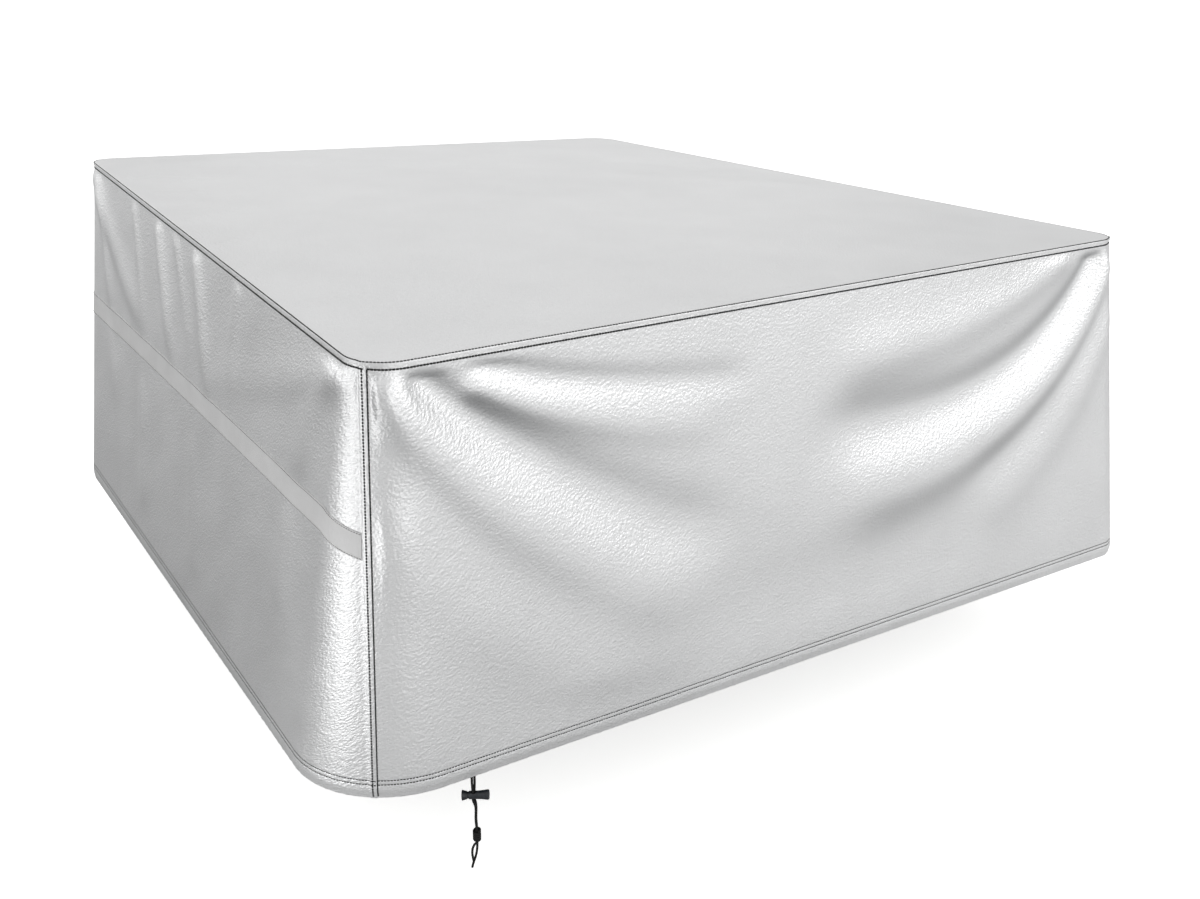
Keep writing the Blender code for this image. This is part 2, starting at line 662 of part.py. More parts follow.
# The drawcord leaves the front hem a little to the right of the near corner.
near_place = HEM_LEVEL.corner["near"].to_2d()
hem_run = HEM_LEVEL.corner["right"].to_2d() - near_place
straight_start, straight_place = HEM_LEVEL.pieces[1][0], HEM_LEVEL.pieces[1][3]
exit_distance = straight_start + CORD_SHARE * hem_run.length - (straight_place - near_place).length
exit_place, exit_out = HEM_LEVEL.at(exit_distance)
lock_place = exit_place - exit_out * LOCK_BACK
lock_frame = bpy.data.objects.new("lock_frame", None)
COVER.objects.link(lock_frame)
lock_frame.location = (lock_place.x, lock_place.y, HEM_LEVEL.height(exit_place) - LOCK_DROP)
lock_frame.rotation_euler = (0.0, 0.0, LOCK_TURN)

for name, table in (("drawcord_strand_a", STRAND_A), ("drawcord_strand_b", STRAND_B)):
    cord_black = plain_material(name + "_black", CORD_BLACK, 0.80, 0.0)
    build_tube(name, smooth_route(strand_points(table), CORD_STEP), cord_black, lock_frame)
knot_black = plain_material("drawcord_knot_black", CORD_BLACK, 0.80, 0.0)
build_tube("drawcord_knot", knot_points(), knot_black, lock_frame)

barrel_plastic = plain_material("lock_barrel_plastic", LOCK_BLACK, 0.40, 0.0)
barrel = build_turned("cord_lock_barrel", BARREL_PROFILE, barrel_plastic, lock_frame)
plunger_plastic = plain_material("lock_plunger_plastic", LOCK_BLACK, 0.42, 0.0)
plunger = build_turned("cord_lock_plunger", PLUNGER_PROFILE, plunger_plastic, lock_frame)
for piece in (barrel, plunger):
    piece.rotation_euler = (0.0, LOCK_TILT, 0.0)
cut(barrel, cord_hole_cutter("barrel_cord_hole", 0.0, lock_frame))
cut(plunger, cord_hole_cutter("plunger_cord_hole", PLUNGER_TRAVEL, lock_frame))
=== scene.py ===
"""Looks of a fitted patio furniture cover: silver coated cloth, sewn seams, a band, a drawcord and its lock.

Metres, +Z up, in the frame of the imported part: X runs along the front panel, which faces -Y, the left panel
faces -X, and the origin is under the middle of the top.
"""

import math

import bpy
import numpy as np
from mathutils import Matrix, Vector
from mathutils.geometry import delaunay_2d_cdt


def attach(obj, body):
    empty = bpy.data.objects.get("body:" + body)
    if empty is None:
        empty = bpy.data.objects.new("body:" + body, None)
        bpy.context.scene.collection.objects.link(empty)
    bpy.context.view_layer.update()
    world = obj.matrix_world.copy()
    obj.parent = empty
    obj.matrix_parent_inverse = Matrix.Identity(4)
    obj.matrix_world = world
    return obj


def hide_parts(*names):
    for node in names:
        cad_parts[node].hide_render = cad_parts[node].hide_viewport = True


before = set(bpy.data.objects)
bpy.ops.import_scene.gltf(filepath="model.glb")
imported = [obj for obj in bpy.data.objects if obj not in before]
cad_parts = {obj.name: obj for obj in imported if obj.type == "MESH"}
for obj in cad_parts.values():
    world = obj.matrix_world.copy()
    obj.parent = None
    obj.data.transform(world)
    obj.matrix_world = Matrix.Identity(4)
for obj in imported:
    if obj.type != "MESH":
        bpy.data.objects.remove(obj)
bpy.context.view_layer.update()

# Sizes of the cover
# ------------------

COVER_WIDTH = 1.60
COVER_DEPTH = 1.80
SIDE_HEIGHT = 0.735
CLOTH_THICKNESS = 0.0015
HEM_THICKNESS = 0.0030
GAP = 0.0003
LAP_STEP = CLOTH_THICKNESS + GAP + 0.0001

CORNER_FIELDS = (
    "name", "side_x", "side_y",
    "top_dx", "top_dy", "top_z", "top_radius", "top_seam",
    "hem_dx", "hem_dy", "hem_z", "hem_radius", "hem_seam",
)
CORNERS = (
    ("near", -1, -1, -0.005, -0.008, -0.010, 0.063, 0.43, -0.090, 0.002, -0.706, 0.183, 0.618),
    ("right", 1, -1, -0.008, 0.007, -0.007, 0.056, 0.50, 0.113, -0.037, -0.712, 0.045, 0.50),
    ("back", 1, 1, -0.041, 0.028, -0.008, 0.061, 0.50, 0.095, 0.030, -0.738, 0.110, 0.50),
    ("left", -1, 1, 0.033, -0.001, 0.033, 0.062, 0.50, -0.088, -0.007, -0.762, 0.108, 0.50),
)

# The rolled edge of the top: how far in from the side and how far below the flat top each line lies.
TOP_EDGE_FIELDS = ("inset", "drop")
TOP_EDGE = (
    (0.0, 0.0070), (0.0, 0.0062), (0.0, 0.0048), (0.0, 0.0035), (0.0004, 0.0023), (0.0012, 0.0015),
    (0.0022, 0.0011), (0.0030, 0.0010), (0.0040, 0.0006), (0.0062, 0.0002), (0.0100, 0.0001),
    (0.0160, 0.0), (0.0250, 0.0),
)
LIP_ROWS = 4
TOP_GRID = 0.0125
SIDE_TOP_DROP = 0.0045

LAP_RAMP_START = -0.0110
LAP_RAMP_END = -0.0060
LAP_UNDER_EDGE = -0.0045
LAP_OVER_EDGE = 0.0030
LIP_RAMP_END = 0.0080
UNDER_OFFSETS = (-0.0045, -0.0015, 0.0012, 0.0030, 0.0036, 0.0042, 0.0052, 0.0066)
OVER_OFFSETS = (0.0030, 0.0024, 0.0010, -0.0008, -0.0020, -0.0028, -0.0036, -0.0045, -0.0060, -0.0085)

HEM_TUCK = 0.004
HEM_TUCK_HEIGHT = 0.020
HEM_FOLD_STEPS = 3
HEM_STEP_FROM = 0.0400
HEM_STEP_TO = 0.0436
HEM_STITCHES = (0.0363, 0.0284)
DITCH_DROP = 0.0078
RELIEF_CLEAR_TOP = 0.008
RELIEF_FULL_TOP = 0.030
RELIEF_CLEAR_SEAM = 0.007
RELIEF_FULL_SEAM = 0.030
RELIEF_HEM_FROM = 0.82
RELIEF_HEM_TO = 0.97
RELIEF_HEM_SHARE = 0.30
GROOVE_DEPTH = 0.0005
GROOVE_WIDTH = 0.0012

PANEL_FIELDS = ("name", "from_corner", "column_step", "row_step")
PANELS = (
    ("front_panel", "near", 0.0060, 0.0058),
    ("right_panel", "right", 0.0096, 0.0090),
    ("back_panel", "back", 0.0096, 0.0090),
    ("left_panel", "left", 0.0064, 0.0060),
)

BAND_THICKNESS = 0.0010
BAND_UPPER = (0.395, 0.322)
BAND_LOWER = (0.458, 0.382)
BAND_CORNER_DIP = 0.046
BAND_STIFFENS = 0.94
BAND_REACH = 0.055
BAND_ROWS = 9
BAND_WIDTH = 0.046
BAND_STITCH_INSET = 0.0022

# A fold is a ridge (positive height) or a trough along a curve bent by its middle point. Points are shares
# of the panel's width and of the way down, heights and widths are in metres at the curve's two ends.
FOLD_FIELDS = (
    "start_s", "start_t", "bend_s", "bend_t", "end_s", "end_t",
    "start_height", "end_height", "start_width", "end_width",
)
FOLDS = {
    "front_panel": (
        (0.02, 0.04, 0.1, 0.34, 0.34, 0.72, 0.013, 0.013, 0.026, 0.08),
        (0.045, 0.02, 0.15, 0.25, 0.39, 0.58, -0.012, -0.011, 0.022, 0.07),
        (0.1, 0.02, 0.2, 0.12, 0.4, 0.17, -0.006, -0.004, 0.018, 0.03),
        (0.1, 0.07, 0.19, 0.19, 0.36, 0.27, 0.006, 0.004, 0.02, 0.04),
        (0.985, 0.05, 0.86, 0.56, 0.56, 0.56, 0.012, 0.016, 0.026, 0.08),
        (0.955, 0.02, 0.82, 0.44, 0.52, 0.36, -0.012, -0.014, 0.024, 0.07),
        (0.9, 0.02, 0.74, 0.2, 0.54, 0.18, 0.005, 0.008, 0.026, 0.06),
        (0.995, 0.12, 0.94, 0.48, 0.76, 0.72, 0.008, 0.007, 0.03, 0.07),
        (0.985, 0.08, 0.91, 0.42, 0.74, 0.6, -0.007, -0.005, 0.024, 0.05),
        (0.04, 0.32, 0.12, 0.72, 0.33, 0.9, 0.007, 0.006, 0.05, 0.09),
        (0.36, 0.72, 0.56, 0.82, 0.76, 0.76, -0.006, -0.006, 0.1, 0.1),
    ),
    "left_panel": (
        (0.03, 0.02, 0.11, 0.14, 0.34, 0.36, 0.007, 0.006, 0.028, 0.05),
        (0.06, 0.02, 0.14, 0.28, 0.18, 0.62, 0.006, 0.006, 0.026, 0.05),
        (0.27, 0.02, 0.3, 0.14, 0.33, 0.3, 0.005, 0.003, 0.022, 0.032),
        (0.395, 0.02, 0.43, 0.2, 0.48, 0.42, 0.009, 0.005, 0.026, 0.042),
        (0.47, 0.02, 0.5, 0.12, 0.53, 0.26, 0.005, 0.002, 0.02, 0.03),
        (0.555, 0.02, 0.58, 0.16, 0.615, 0.4, 0.009, 0.005, 0.026, 0.042),
        (0.7, 0.02, 0.69, 0.1, 0.68, 0.24, 0.004, 0.002, 0.02, 0.03),
        (0.96, 0.02, 0.87, 0.24, 0.845, 0.64, 0.006, 0.008, 0.03, 0.052),
        (0.97, 0.03, 0.79, 0.18, 0.62, 0.3, 0.0045, 0.0025, 0.026, 0.046),
        (0.33, 0.5, 0.35, 0.66, 0.35, 0.86, 0.006, 0.004, 0.036, 0.05),
        (0.56, 0.52, 0.56, 0.68, 0.58, 0.86, 0.005, 0.003, 0.04, 0.05),
    ),
}


def borrowed(folds, mirrored, lift, stretch):
    """Another panel's folds at a share of their height and stretched downwards, mirrored or not."""
    rows = []
    for fold in folds:
        sides = [1.0 - value if mirrored else value for value in fold[0:6:2]]
        downs = [value * stretch for value in fold[1:6:2]]
        path = [value for pair in zip(sides, downs) for value in pair]
        rows.append((*path, fold[6] * lift, fold[7] * lift, fold[8] * stretch, fold[9] * stretch))
    return tuple(rows)


# The hidden sides get the front's folds, changed a little.
FOLDS["right_panel"] = borrowed(FOLDS["front_panel"], False, 0.62, 1.14)
FOLDS["back_panel"] = borrowed(FOLDS["front_panel"], True, 0.72, 1.04)
FOLD_SAMPLES = 24
FOLD_FEWEST = 3
FOLD_MOST = 48
FOLD_OVERLAP = 1.2
# Painted shade on downward-facing fold faces: the slope that gets the full shade, and the heights over the
# hem and under the top where it fades in.
SHADE_FULL_SLOPE = 0.45
SHADE_ABOVE_HEM = (0.045, 0.080)
SHADE_BELOW_TOP = (0.010, 0.030)

# Gathers at the sewn edges: where they are centred, measured down from the top or up from the hem.
PUCKER_CLEAR_SEAM = 0.010
PUCKER_FULL_SEAM = 0.030
HEM_PUCKER_HEIGHT = 0.00045
HEM_PUCKER_SCALE = 0.021
HEM_PUCKER_TO = 0.022
HEM_PUCKER_END = 0.036
PUCKER_FIELDS = ("height", "scale", "seed_step", "from_top", "place", "reach")
PUCKERS = (
    (0.0005, 0.045, 10, False, 0.055, 0.016),
    (0.0004, 0.030, 20, True, 0.022, 0.012),
)
RIPPLE_WAVES = 9

# Creases of the top: start and end in metres, height at the middle and half width.
CREASE_FIELDS = ("start_x", "start_y", "end_x", "end_y", "height", "width")
TOP_CREASES = (
    (-0.79, 0.62, -0.56, 0.5, 0.0042, 0.022),
    (-0.79, 0.4, -0.62, 0.37, 0.003, 0.017),
    (-0.79, 0.24, -0.66, 0.28, -0.0026, 0.016),
    (-0.8, 0.06, -0.6, 0.16, 0.0034, 0.02),
    (-0.8, -0.16, -0.66, -0.1, 0.0026, 0.016),
    (-0.8, -0.38, -0.68, -0.3, -0.0022, 0.016),
    (-0.8, -0.6, -0.64, -0.56, 0.0024, 0.02),
    (-0.72, 0.84, 0.1, 0.6, 0.005, 0.06),
    (-0.5, 0.78, 0.3, 0.4, -0.005, 0.08),
    (0.74, -0.2, 0.3, 0.3, 0.004, 0.055),
    (0.76, 0.1, 0.4, 0.55, -0.004, 0.06),
    (-0.6, -0.86, -0.2, -0.62, 0.003, 0.05),
    (-0.1, -0.88, 0.3, -0.7, -0.003, 0.06),
    (0.3, -0.88, 0.7, -0.6, 0.003, 0.05),
    (-0.4, -0.1, 0.3, 0.05, 0.004, 0.12),
)

# Stitches: half width, pitch and length of each kind.
HEM_STITCH = (0.00145, 0.0048, 0.0040)
DITCH_STITCH = (0.0016, 0.0048, 0.0047)
TOP_STITCH = (0.0017, 0.0050, 0.0044)
BAND_STITCH = (0.0004, 0.0042, 0.0030)
STITCH_HEIGHT = 0.00080
STITCH_SIDES = 4
STITCH_PROFILE = ((-0.5, 0.30), (-0.36, 1.0), (0.36, 1.0), (0.5, 0.30))
TOP_STITCH_RING = 5
OVER_STITCH_INSET = 0.0030
UNDER_STITCH_INSET = 0.0037

CORD_DIAMETER = 0.0038
CORD_SHARE = 0.1281
LOCK_TURN = math.radians(-33.0)
LOCK_DROP = 0.0388
LOCK_BACK = HEM_THICKNESS + HEM_TUCK + CORD_DIAMETER / 2 + 0.00135

STRAND_FIELDS = ("along", "front", "up")
STRAND_A = (
    (-2.15, 0.0, 51), (-2.15, 0.0, 27), (-2.02, 0.74, 22), (-1.69, 1.33, 17), (-1.3, 1.75, 9),
    (-1.3, 1.75, -8), (0.4, 2.1, -14), (2.5, 2.1, -21), (2.6, 2.1, -30), (2.1, 2.1, -48),
    (2.9, 2.06, -61), (3.0, 2.06, -74), (3.0, 2.06, -89), (-1.2, 2.1, -95), (-4.2, 2.1, -102),
    (-5.2, 2.1, -109), (-5.1, 2.1, -116), (-4.1, 2.1, -124), (-2.8, 2.1, -131),
)
STRAND_B = (
    (2.15, 0.0, 51), (2.15, 0.0, 27), (2.02, -0.74, 22), (1.69, -1.33, 17), (1.3, -1.75, 9),
    (1.3, -1.75, -8), (2.2, -2.1, -14), (3.1, -2.1, -21), (3.0, -2.1, -30), (2.4, -2.1, -48),
    (3.0, -2.06, -61), (3.0, -2.06, -89), (2.8, -2.1, -98), (2.1, -2.1, -108), (0.6, -2.1, -117),
    (-1.4, -2.1, -125), (-3.6, -2.1, -132), (-5.6, -2.1, -139), (-6.8, -2.1, -145),
)
CURVE_PARTS = 12
KNOT_CENTRE_ALONG = 3.0
KNOT_TOP = -67.4
KNOT_TURNS = 4.5
KNOT_PITCH = 4.3
KNOT_HALF_ALONG = 4.8
KNOT_HALF_FRONT = 6.5
KNOT_POINTS_A_TURN = 36
KNOT_START_ANGLE = math.radians(-60)
KNOT_STUB = ((-1.7, -1.2, -0.5), (-3.4, -1.6, -1.6))
TUBE_STEP = 0.00045
TUBE_SIDES = 28
BRAID_STRANDS = 5
BRAID_LEAD = 0.0052
BRAID_DEPTH = 0.00016

PLAIN_SHARP = 50.0
ROUND_SHARP = 80.0

FLOOR_LEVEL = -0.905
FLOOR_HALF = 400.0
FLOOR_GLOW = 0.65
FLOOR_MIRRORED = (0.32, 0.70)
FLOOR_MIRRORED_BETWEEN = (-0.8, 1.0)
FLOOR_GRADED_ALONG = (0.707, -0.707, 0.0)
SEEN_WHITE = (1.0, 1.0, 0.99, 1.0)

# Camera, from the photograph's perspective.
SENSOR_WIDTH = 36.0
CAMERA_FAR = 1500.0
CAMERA_PLACE = (-1.346, -2.302, 0.456)
CAMERA_YAW = math.radians(33.11)
CAMERA_PITCH = math.radians(21.50)
CAMERA_ROLL = math.radians(0.56)
CAMERA_LENS = 35.85


def rows_of(fields, table):
    return [dict(zip(fields, row)) for row in table]


def smooth_step(value, low, high):
    share = np.clip((value - low) / (high - low), 0.0, 1.0)
    return share * share * (3.0 - 2.0 * share)


# Camera
# ------


def place_camera():
    data = bpy.data.cameras.new("photo_camera")
    data.sensor_width = SENSOR_WIDTH
    data.lens = CAMERA_LENS
    data.clip_end = CAMERA_FAR
    camera = bpy.data.objects.new("photo_camera", data)
    bpy.context.scene.collection.objects.link(camera)
    turns = ((-CAMERA_YAW, "Z"), (math.pi / 2 - CAMERA_PITCH, "X"), (CAMERA_ROLL, "Z"))
    camera.matrix_world = Matrix.Translation(CAMERA_PLACE)
    for angle, axis in turns:
        camera.matrix_world = camera.matrix_world @ Matrix.Rotation(angle, 4, axis)
    bpy.context.scene.camera = camera


place_camera()

# Materials
# ---------


class Nodes:
    """A node tree built node by node. An input is given by its name or, as i0, by its number."""

    def __init__(self, tree):
        self.tree = tree

    def add(self, kind, settings=None, **inputs):
        node = self.tree.nodes.new("ShaderNode" + kind)
        for name, value in (settings or {}).items():
            setattr(node, name, value)
        for name, value in inputs.items():
            numbered = name[0] == "i" and name[1:].isdigit()
            socket = node.inputs[int(name[1:]) if numbered else name.replace("_", " ")]
            if isinstance(value, bpy.types.NodeSocket):
                self.tree.links.new(value, socket)
            else:
                socket.default_value = value
        return node

    def camera_sees(self, seen, mirrored, output):
        """Wire one shader for what the camera sees and another for what the cloth mirrors."""
        camera_ray = self.add("LightPath").outputs["Is Camera Ray"]
        choice = self.add("MixShader", None, i0=camera_ray, i1=mirrored.outputs[0], i2=seen.outputs[0])
        self.tree.links.new(choice.outputs[0], self.tree.nodes[output].inputs["Surface"])


class Looks(Nodes):
    """A procedural material."""

    def __init__(self, name, **shader_values):
        self.material = bpy.data.materials.new(name)
        self.material.use_nodes = True
        super().__init__(self.material.node_tree)
        self.shader = self.tree.nodes["Principled BSDF"]
        for socket, value in shader_values.items():
            self.shader.inputs[socket.replace("_", " ")].default_value = value

    def math(self, operation, first, second=0.0, third=0.0):
        return self.add("Math", {"operation": operation}, i0=first, i1=second, i2=third).outputs[0]

    def remap(self, value, low, high, new_low, new_high):
        ends = {"From Min": low, "From Max": high, "To Min": new_low, "To Max": new_high}
        return self.add("MapRange", None, Value=value, **ends).outputs[0]

    def noise(self, vector, scale, detail=2.0, roughness=0.5):
        inputs = {"Vector": vector, "Scale": scale, "Detail": detail, "Roughness": roughness}
        return self.add("TexNoise", None, **inputs).outputs["Fac"]

    def wave(self, value, length):
        return self.math("SINE", self.math("MULTIPLY", value, 2 * math.pi / length))

    def blend(self, share, first, second):
        return self.add("Mix", {"data_type": "RGBA"}, i0=share, i6=first, i7=second).outputs[2]

    def bump(self, height, distance, strength=1.0, before=None):
        extra = {"Normal": before} if before else {}
        return self.add("Bump", None, Height=height, Distance=distance, Strength=strength, **extra).outputs[0]

    def wire(self, value, socket):
        self.tree.links.new(value, self.shader.inputs[socket])


def grey(value, warm=0.0):
    return (value + warm, value, value - warm, 1.0)


# Name of each point's share of painted shade, which darkens the cloth's colour on downward-facing fold faces.
SHADE_NAME = "crease_shade"
WEAVE_PITCH = 0.0011
WEAVE_STRENGTH = 0.25


def cloth_material(name, tones, warm, metallic, rough, grain):
    """Woven cloth with a shining silver coating: a fine weave, a pebbled grain and faint stains.

    The tones are those of its light and dark patches and of the painted shade on its downward-facing fold
    faces.
    """
    looks = Looks(name, Metallic=metallic)
    light, dark, painted_shade_tone = [grey(tone, warm) for tone in tones]
    place = looks.add("TexCoord").outputs["UV"]
    parts = looks.add("SeparateXYZ", None, Vector=place)
    weave = looks.math("MULTIPLY", *[looks.wave(part, WEAVE_PITCH) for part in parts.outputs[:2]])
    pebble = looks.add(
        "TexVoronoi", {"feature": "SMOOTH_F1"}, Vector=place, Scale=230.0, Smoothness=0.7,
    ).outputs["Distance"]
    crumb = looks.noise(place, 420.0, 3.0, 0.6)
    cloudy = looks.noise(place, 7.0, 4.0, 0.55)
    wide = looks.noise(place, 1.7, 2.0, 0.5)
    tint = looks.math("MULTIPLY_ADD", cloudy, 0.55, looks.math("MULTIPLY", wide, 0.45))
    plain = looks.blend(looks.remap(tint, 0.32, 0.68, 0.0, 1.0), dark, light)
    # Painted shade: the colour is blended towards the darker third tone by each point's shade share.
    shade = looks.add("Attribute", {"attribute_name": SHADE_NAME}).outputs["Fac"]
    looks.wire(looks.blend(shade, plain, painted_shade_tone), "Base Color")
    worn = looks.math("MULTIPLY_ADD", crumb, 0.5, looks.math("MULTIPLY", cloudy, 0.5))
    looks.wire(looks.remap(worn, 0.3, 0.7, *rough), "Roughness")
    fine = looks.bump(weave, 0.00006, WEAVE_STRENGTH)
    mid = looks.bump(looks.math("MULTIPLY_ADD", crumb, 0.6, pebble), grain, 1.0, fine)
    slack = looks.bump(looks.noise(place, 34.0, 3.0, 0.55), 0.0012, 0.35, mid)
    looks.wire(slack, "Normal")
    return looks.material


# The third tone is the painted shade of downward-facing fold faces, which only the side panels carry.
SIDE_CLOTH = cloth_material("silver_side_cloth", (0.84, 0.79, 0.36), -0.004, 0.80, (0.32, 0.42), 0.00085)
TOP_CLOTH = cloth_material("silver_top_cloth", (0.77, 0.72, 0.50), -0.003, 0.68, (0.40, 0.50), 0.00050)


def band_material():
    """A ribbed matte tape."""
    looks = Looks("silver_band_tape", Metallic=0.35)
    place = looks.add("TexCoord").outputs["UV"]
    parts = looks.add("SeparateXYZ", None, Vector=place)
    ribs = looks.wave(parts.outputs[1], 0.0016)
    cross = looks.wave(parts.outputs[0], 0.0012)
    crumb = looks.noise(place, 500.0, 3.0, 0.6)
    cloudy = looks.noise(place, 12.0, 3.0, 0.5)
    looks.wire(looks.blend(looks.remap(cloudy, 0.3, 0.7, 0.0, 1.0), grey(0.60), grey(0.66)), "Base Color")
    looks.wire(looks.remap(crumb, 0.3, 0.7, 0.50, 0.62), "Roughness")
    weave = looks.bump(looks.math("MULTIPLY_ADD", cross, 0.4, ribs), 0.00010, 0.7)
    looks.wire(looks.bump(crumb, 0.00015, 0.7, weave), "Normal")
    return looks.material


def fibre_material(name, fleck_noise, cloud_scale, tones, rough, relief):
    """Dark fibres, of twisted thread or a braided cord."""
    looks = Looks(name, Metallic=0.0, Specular_IOR_Level=0.3)
    place = looks.add("TexCoord").outputs["Object"]
    fleck = looks.noise(place, *fleck_noise)
    cloudy = looks.noise(place, cloud_scale, 2.0, 0.5)
    looks.wire(looks.blend(cloudy, grey(tones[0]), grey(tones[1])), "Base Color")
    looks.wire(looks.remap(fleck, 0.3, 0.7, *rough), "Roughness")
    looks.wire(looks.bump(fleck, *relief), "Normal")
    return looks.material


def lock_material():
    """Black moulded plastic with a cool sheen and a fine spark-eroded grain."""
    looks = Looks("black_moulded_plastic", Metallic=0.0, Coat_Weight=0.12, Coat_Roughness=0.30)
    place = looks.add("TexCoord").outputs["Object"]
    grain = looks.noise(place, 1500.0, 3.0, 0.6)
    scuffs = looks.noise(place, 220.0, 4.0, 0.6)
    worn = looks.remap(scuffs, 0.45, 0.70, 0.0, 1.0)
    looks.wire(looks.blend(worn, (0.006, 0.008, 0.011, 1.0), (0.018, 0.022, 0.028, 1.0)), "Base Color")
    looks.wire(looks.remap(scuffs, 0.3, 0.7, 0.30, 0.46), "Roughness")
    looks.wire(looks.bump(grain, 0.00008, 0.6), "Normal")
    return looks.material


BAND_TAPE = band_material()
THREAD = fibre_material(
    "dark_grey_thread", (900.0, 2.0, 0.6), 25.0, (0.012, 0.030), (0.55, 0.75), (0.0002, 0.6),
)
CORD_BLACK = fibre_material(
    "black_braided_cord", (2600.0, 3.0, 0.65), 160.0, (0.004, 0.010), (0.55, 0.80), (0.00012, 0.7),
)
LOCK_PLASTIC = lock_material()

# Meshes
# ------


def add_mesh(name, points, faces, material, uvs=None, sharp=PLAIN_SHARP, shade=None):
    """A piece from points and faces, with UVs in metres and a share of painted shade for each point."""
    mesh = bpy.data.meshes.new(name)
    mesh.from_pydata([tuple(point) for point in points], [], [tuple(face) for face in faces])
    mesh.update()
    if uvs is not None:
        layer = mesh.uv_layers.new(name="cloth")
        corners = np.empty(len(mesh.loops), np.int32)
        mesh.loops.foreach_get("vertex_index", corners)
        layer.data.foreach_set("uv", np.asarray(uvs, np.float32)[corners].ravel())
    if shade is not None:
        values = mesh.attributes.new(SHADE_NAME, "FLOAT", "POINT")
        values.data.foreach_set("value", np.asarray(shade, np.float32).ravel())
    mesh.shade_smooth()
    mesh.set_sharp_from_angle(angle=math.radians(sharp))
    made = bpy.data.objects.new(name, mesh)
    bpy.context.scene.collection.objects.link(made)
    mesh.materials.append(material)
    return made


def grid_faces(rows, columns, flip=False, wrap=False):
    """Quads of a grid of points that are stored row after row."""
    row, column = np.meshgrid(np.arange(rows - 1), np.arange(columns if wrap else columns - 1), indexing="ij")
    after = (column + 1) % columns
    upper, lower = row * columns, (row + 1) * columns
    quads = np.stack([upper + column, upper + after, lower + after, lower + column], axis=-1).reshape(-1, 4)
    return quads[:, ::-1] if flip else quads


def folded_faces(face_rows, rows, columns):
    """Faces of a closed sheet whose points run down its outer face and then up its inner one."""
    faces = [tuple(quad) for quad in grid_faces(rows, columns, flip=True)]
    last = (rows - 1) * columns
    column = np.arange(columns - 1)
    rim = np.stack([last + column, last + column + 1, column + 1, column], axis=-1)[:, ::-1]
    faces += [tuple(quad) for quad in rim]
    for side, flip in ((0, True), (columns - 1, False)):
        ring = np.arange(rows) * columns + side
        caps = [
            (ring[index], ring[index + 1], ring[-2 - index], ring[-1 - index])
            for index in range(face_rows - 1)
        ]
        foot = tuple(ring[face_rows - 1:rows - face_rows + 1])
        if len(foot) > 2:
            caps.append(foot)
        faces += [cap[::-1] if flip else cap for cap in caps]
    return faces


def folded_sheet(name, face_rows, points, along, down, material, shade=None):
    """A closed sheet from its rows of points, with how far each lies along and down the flat cloth."""
    rows, columns = points.shape[:2]
    uvs = np.stack([along, np.repeat(down[:, None], columns, axis=1)], axis=-1).reshape(-1, 2)
    faces = folded_faces(face_rows, rows, columns)
    return add_mesh(name, points.reshape(-1, 3), faces, material, uvs, shade=shade)


def lengths_along(line):
    """Distance along a line at each of its points."""
    return np.concatenate([[0.0], np.cumsum(np.linalg.norm(np.diff(line, axis=0), axis=1))])


def at_lengths(spots, lengths, values):
    """A line's values at distances along it."""
    return np.stack([np.interp(spots, lengths, values[:, axis]) for axis in range(values.shape[1])], axis=-1)


def dress(made, node):
    """Put a piece on the cover in place of a CAD node."""
    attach(made, "cover")
    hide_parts(node)


def unit(vectors):
    return vectors / np.maximum(np.linalg.norm(vectors, axis=-1, keepdims=True), 1e-12)


# The cover's outline and panels
# ------------------------------


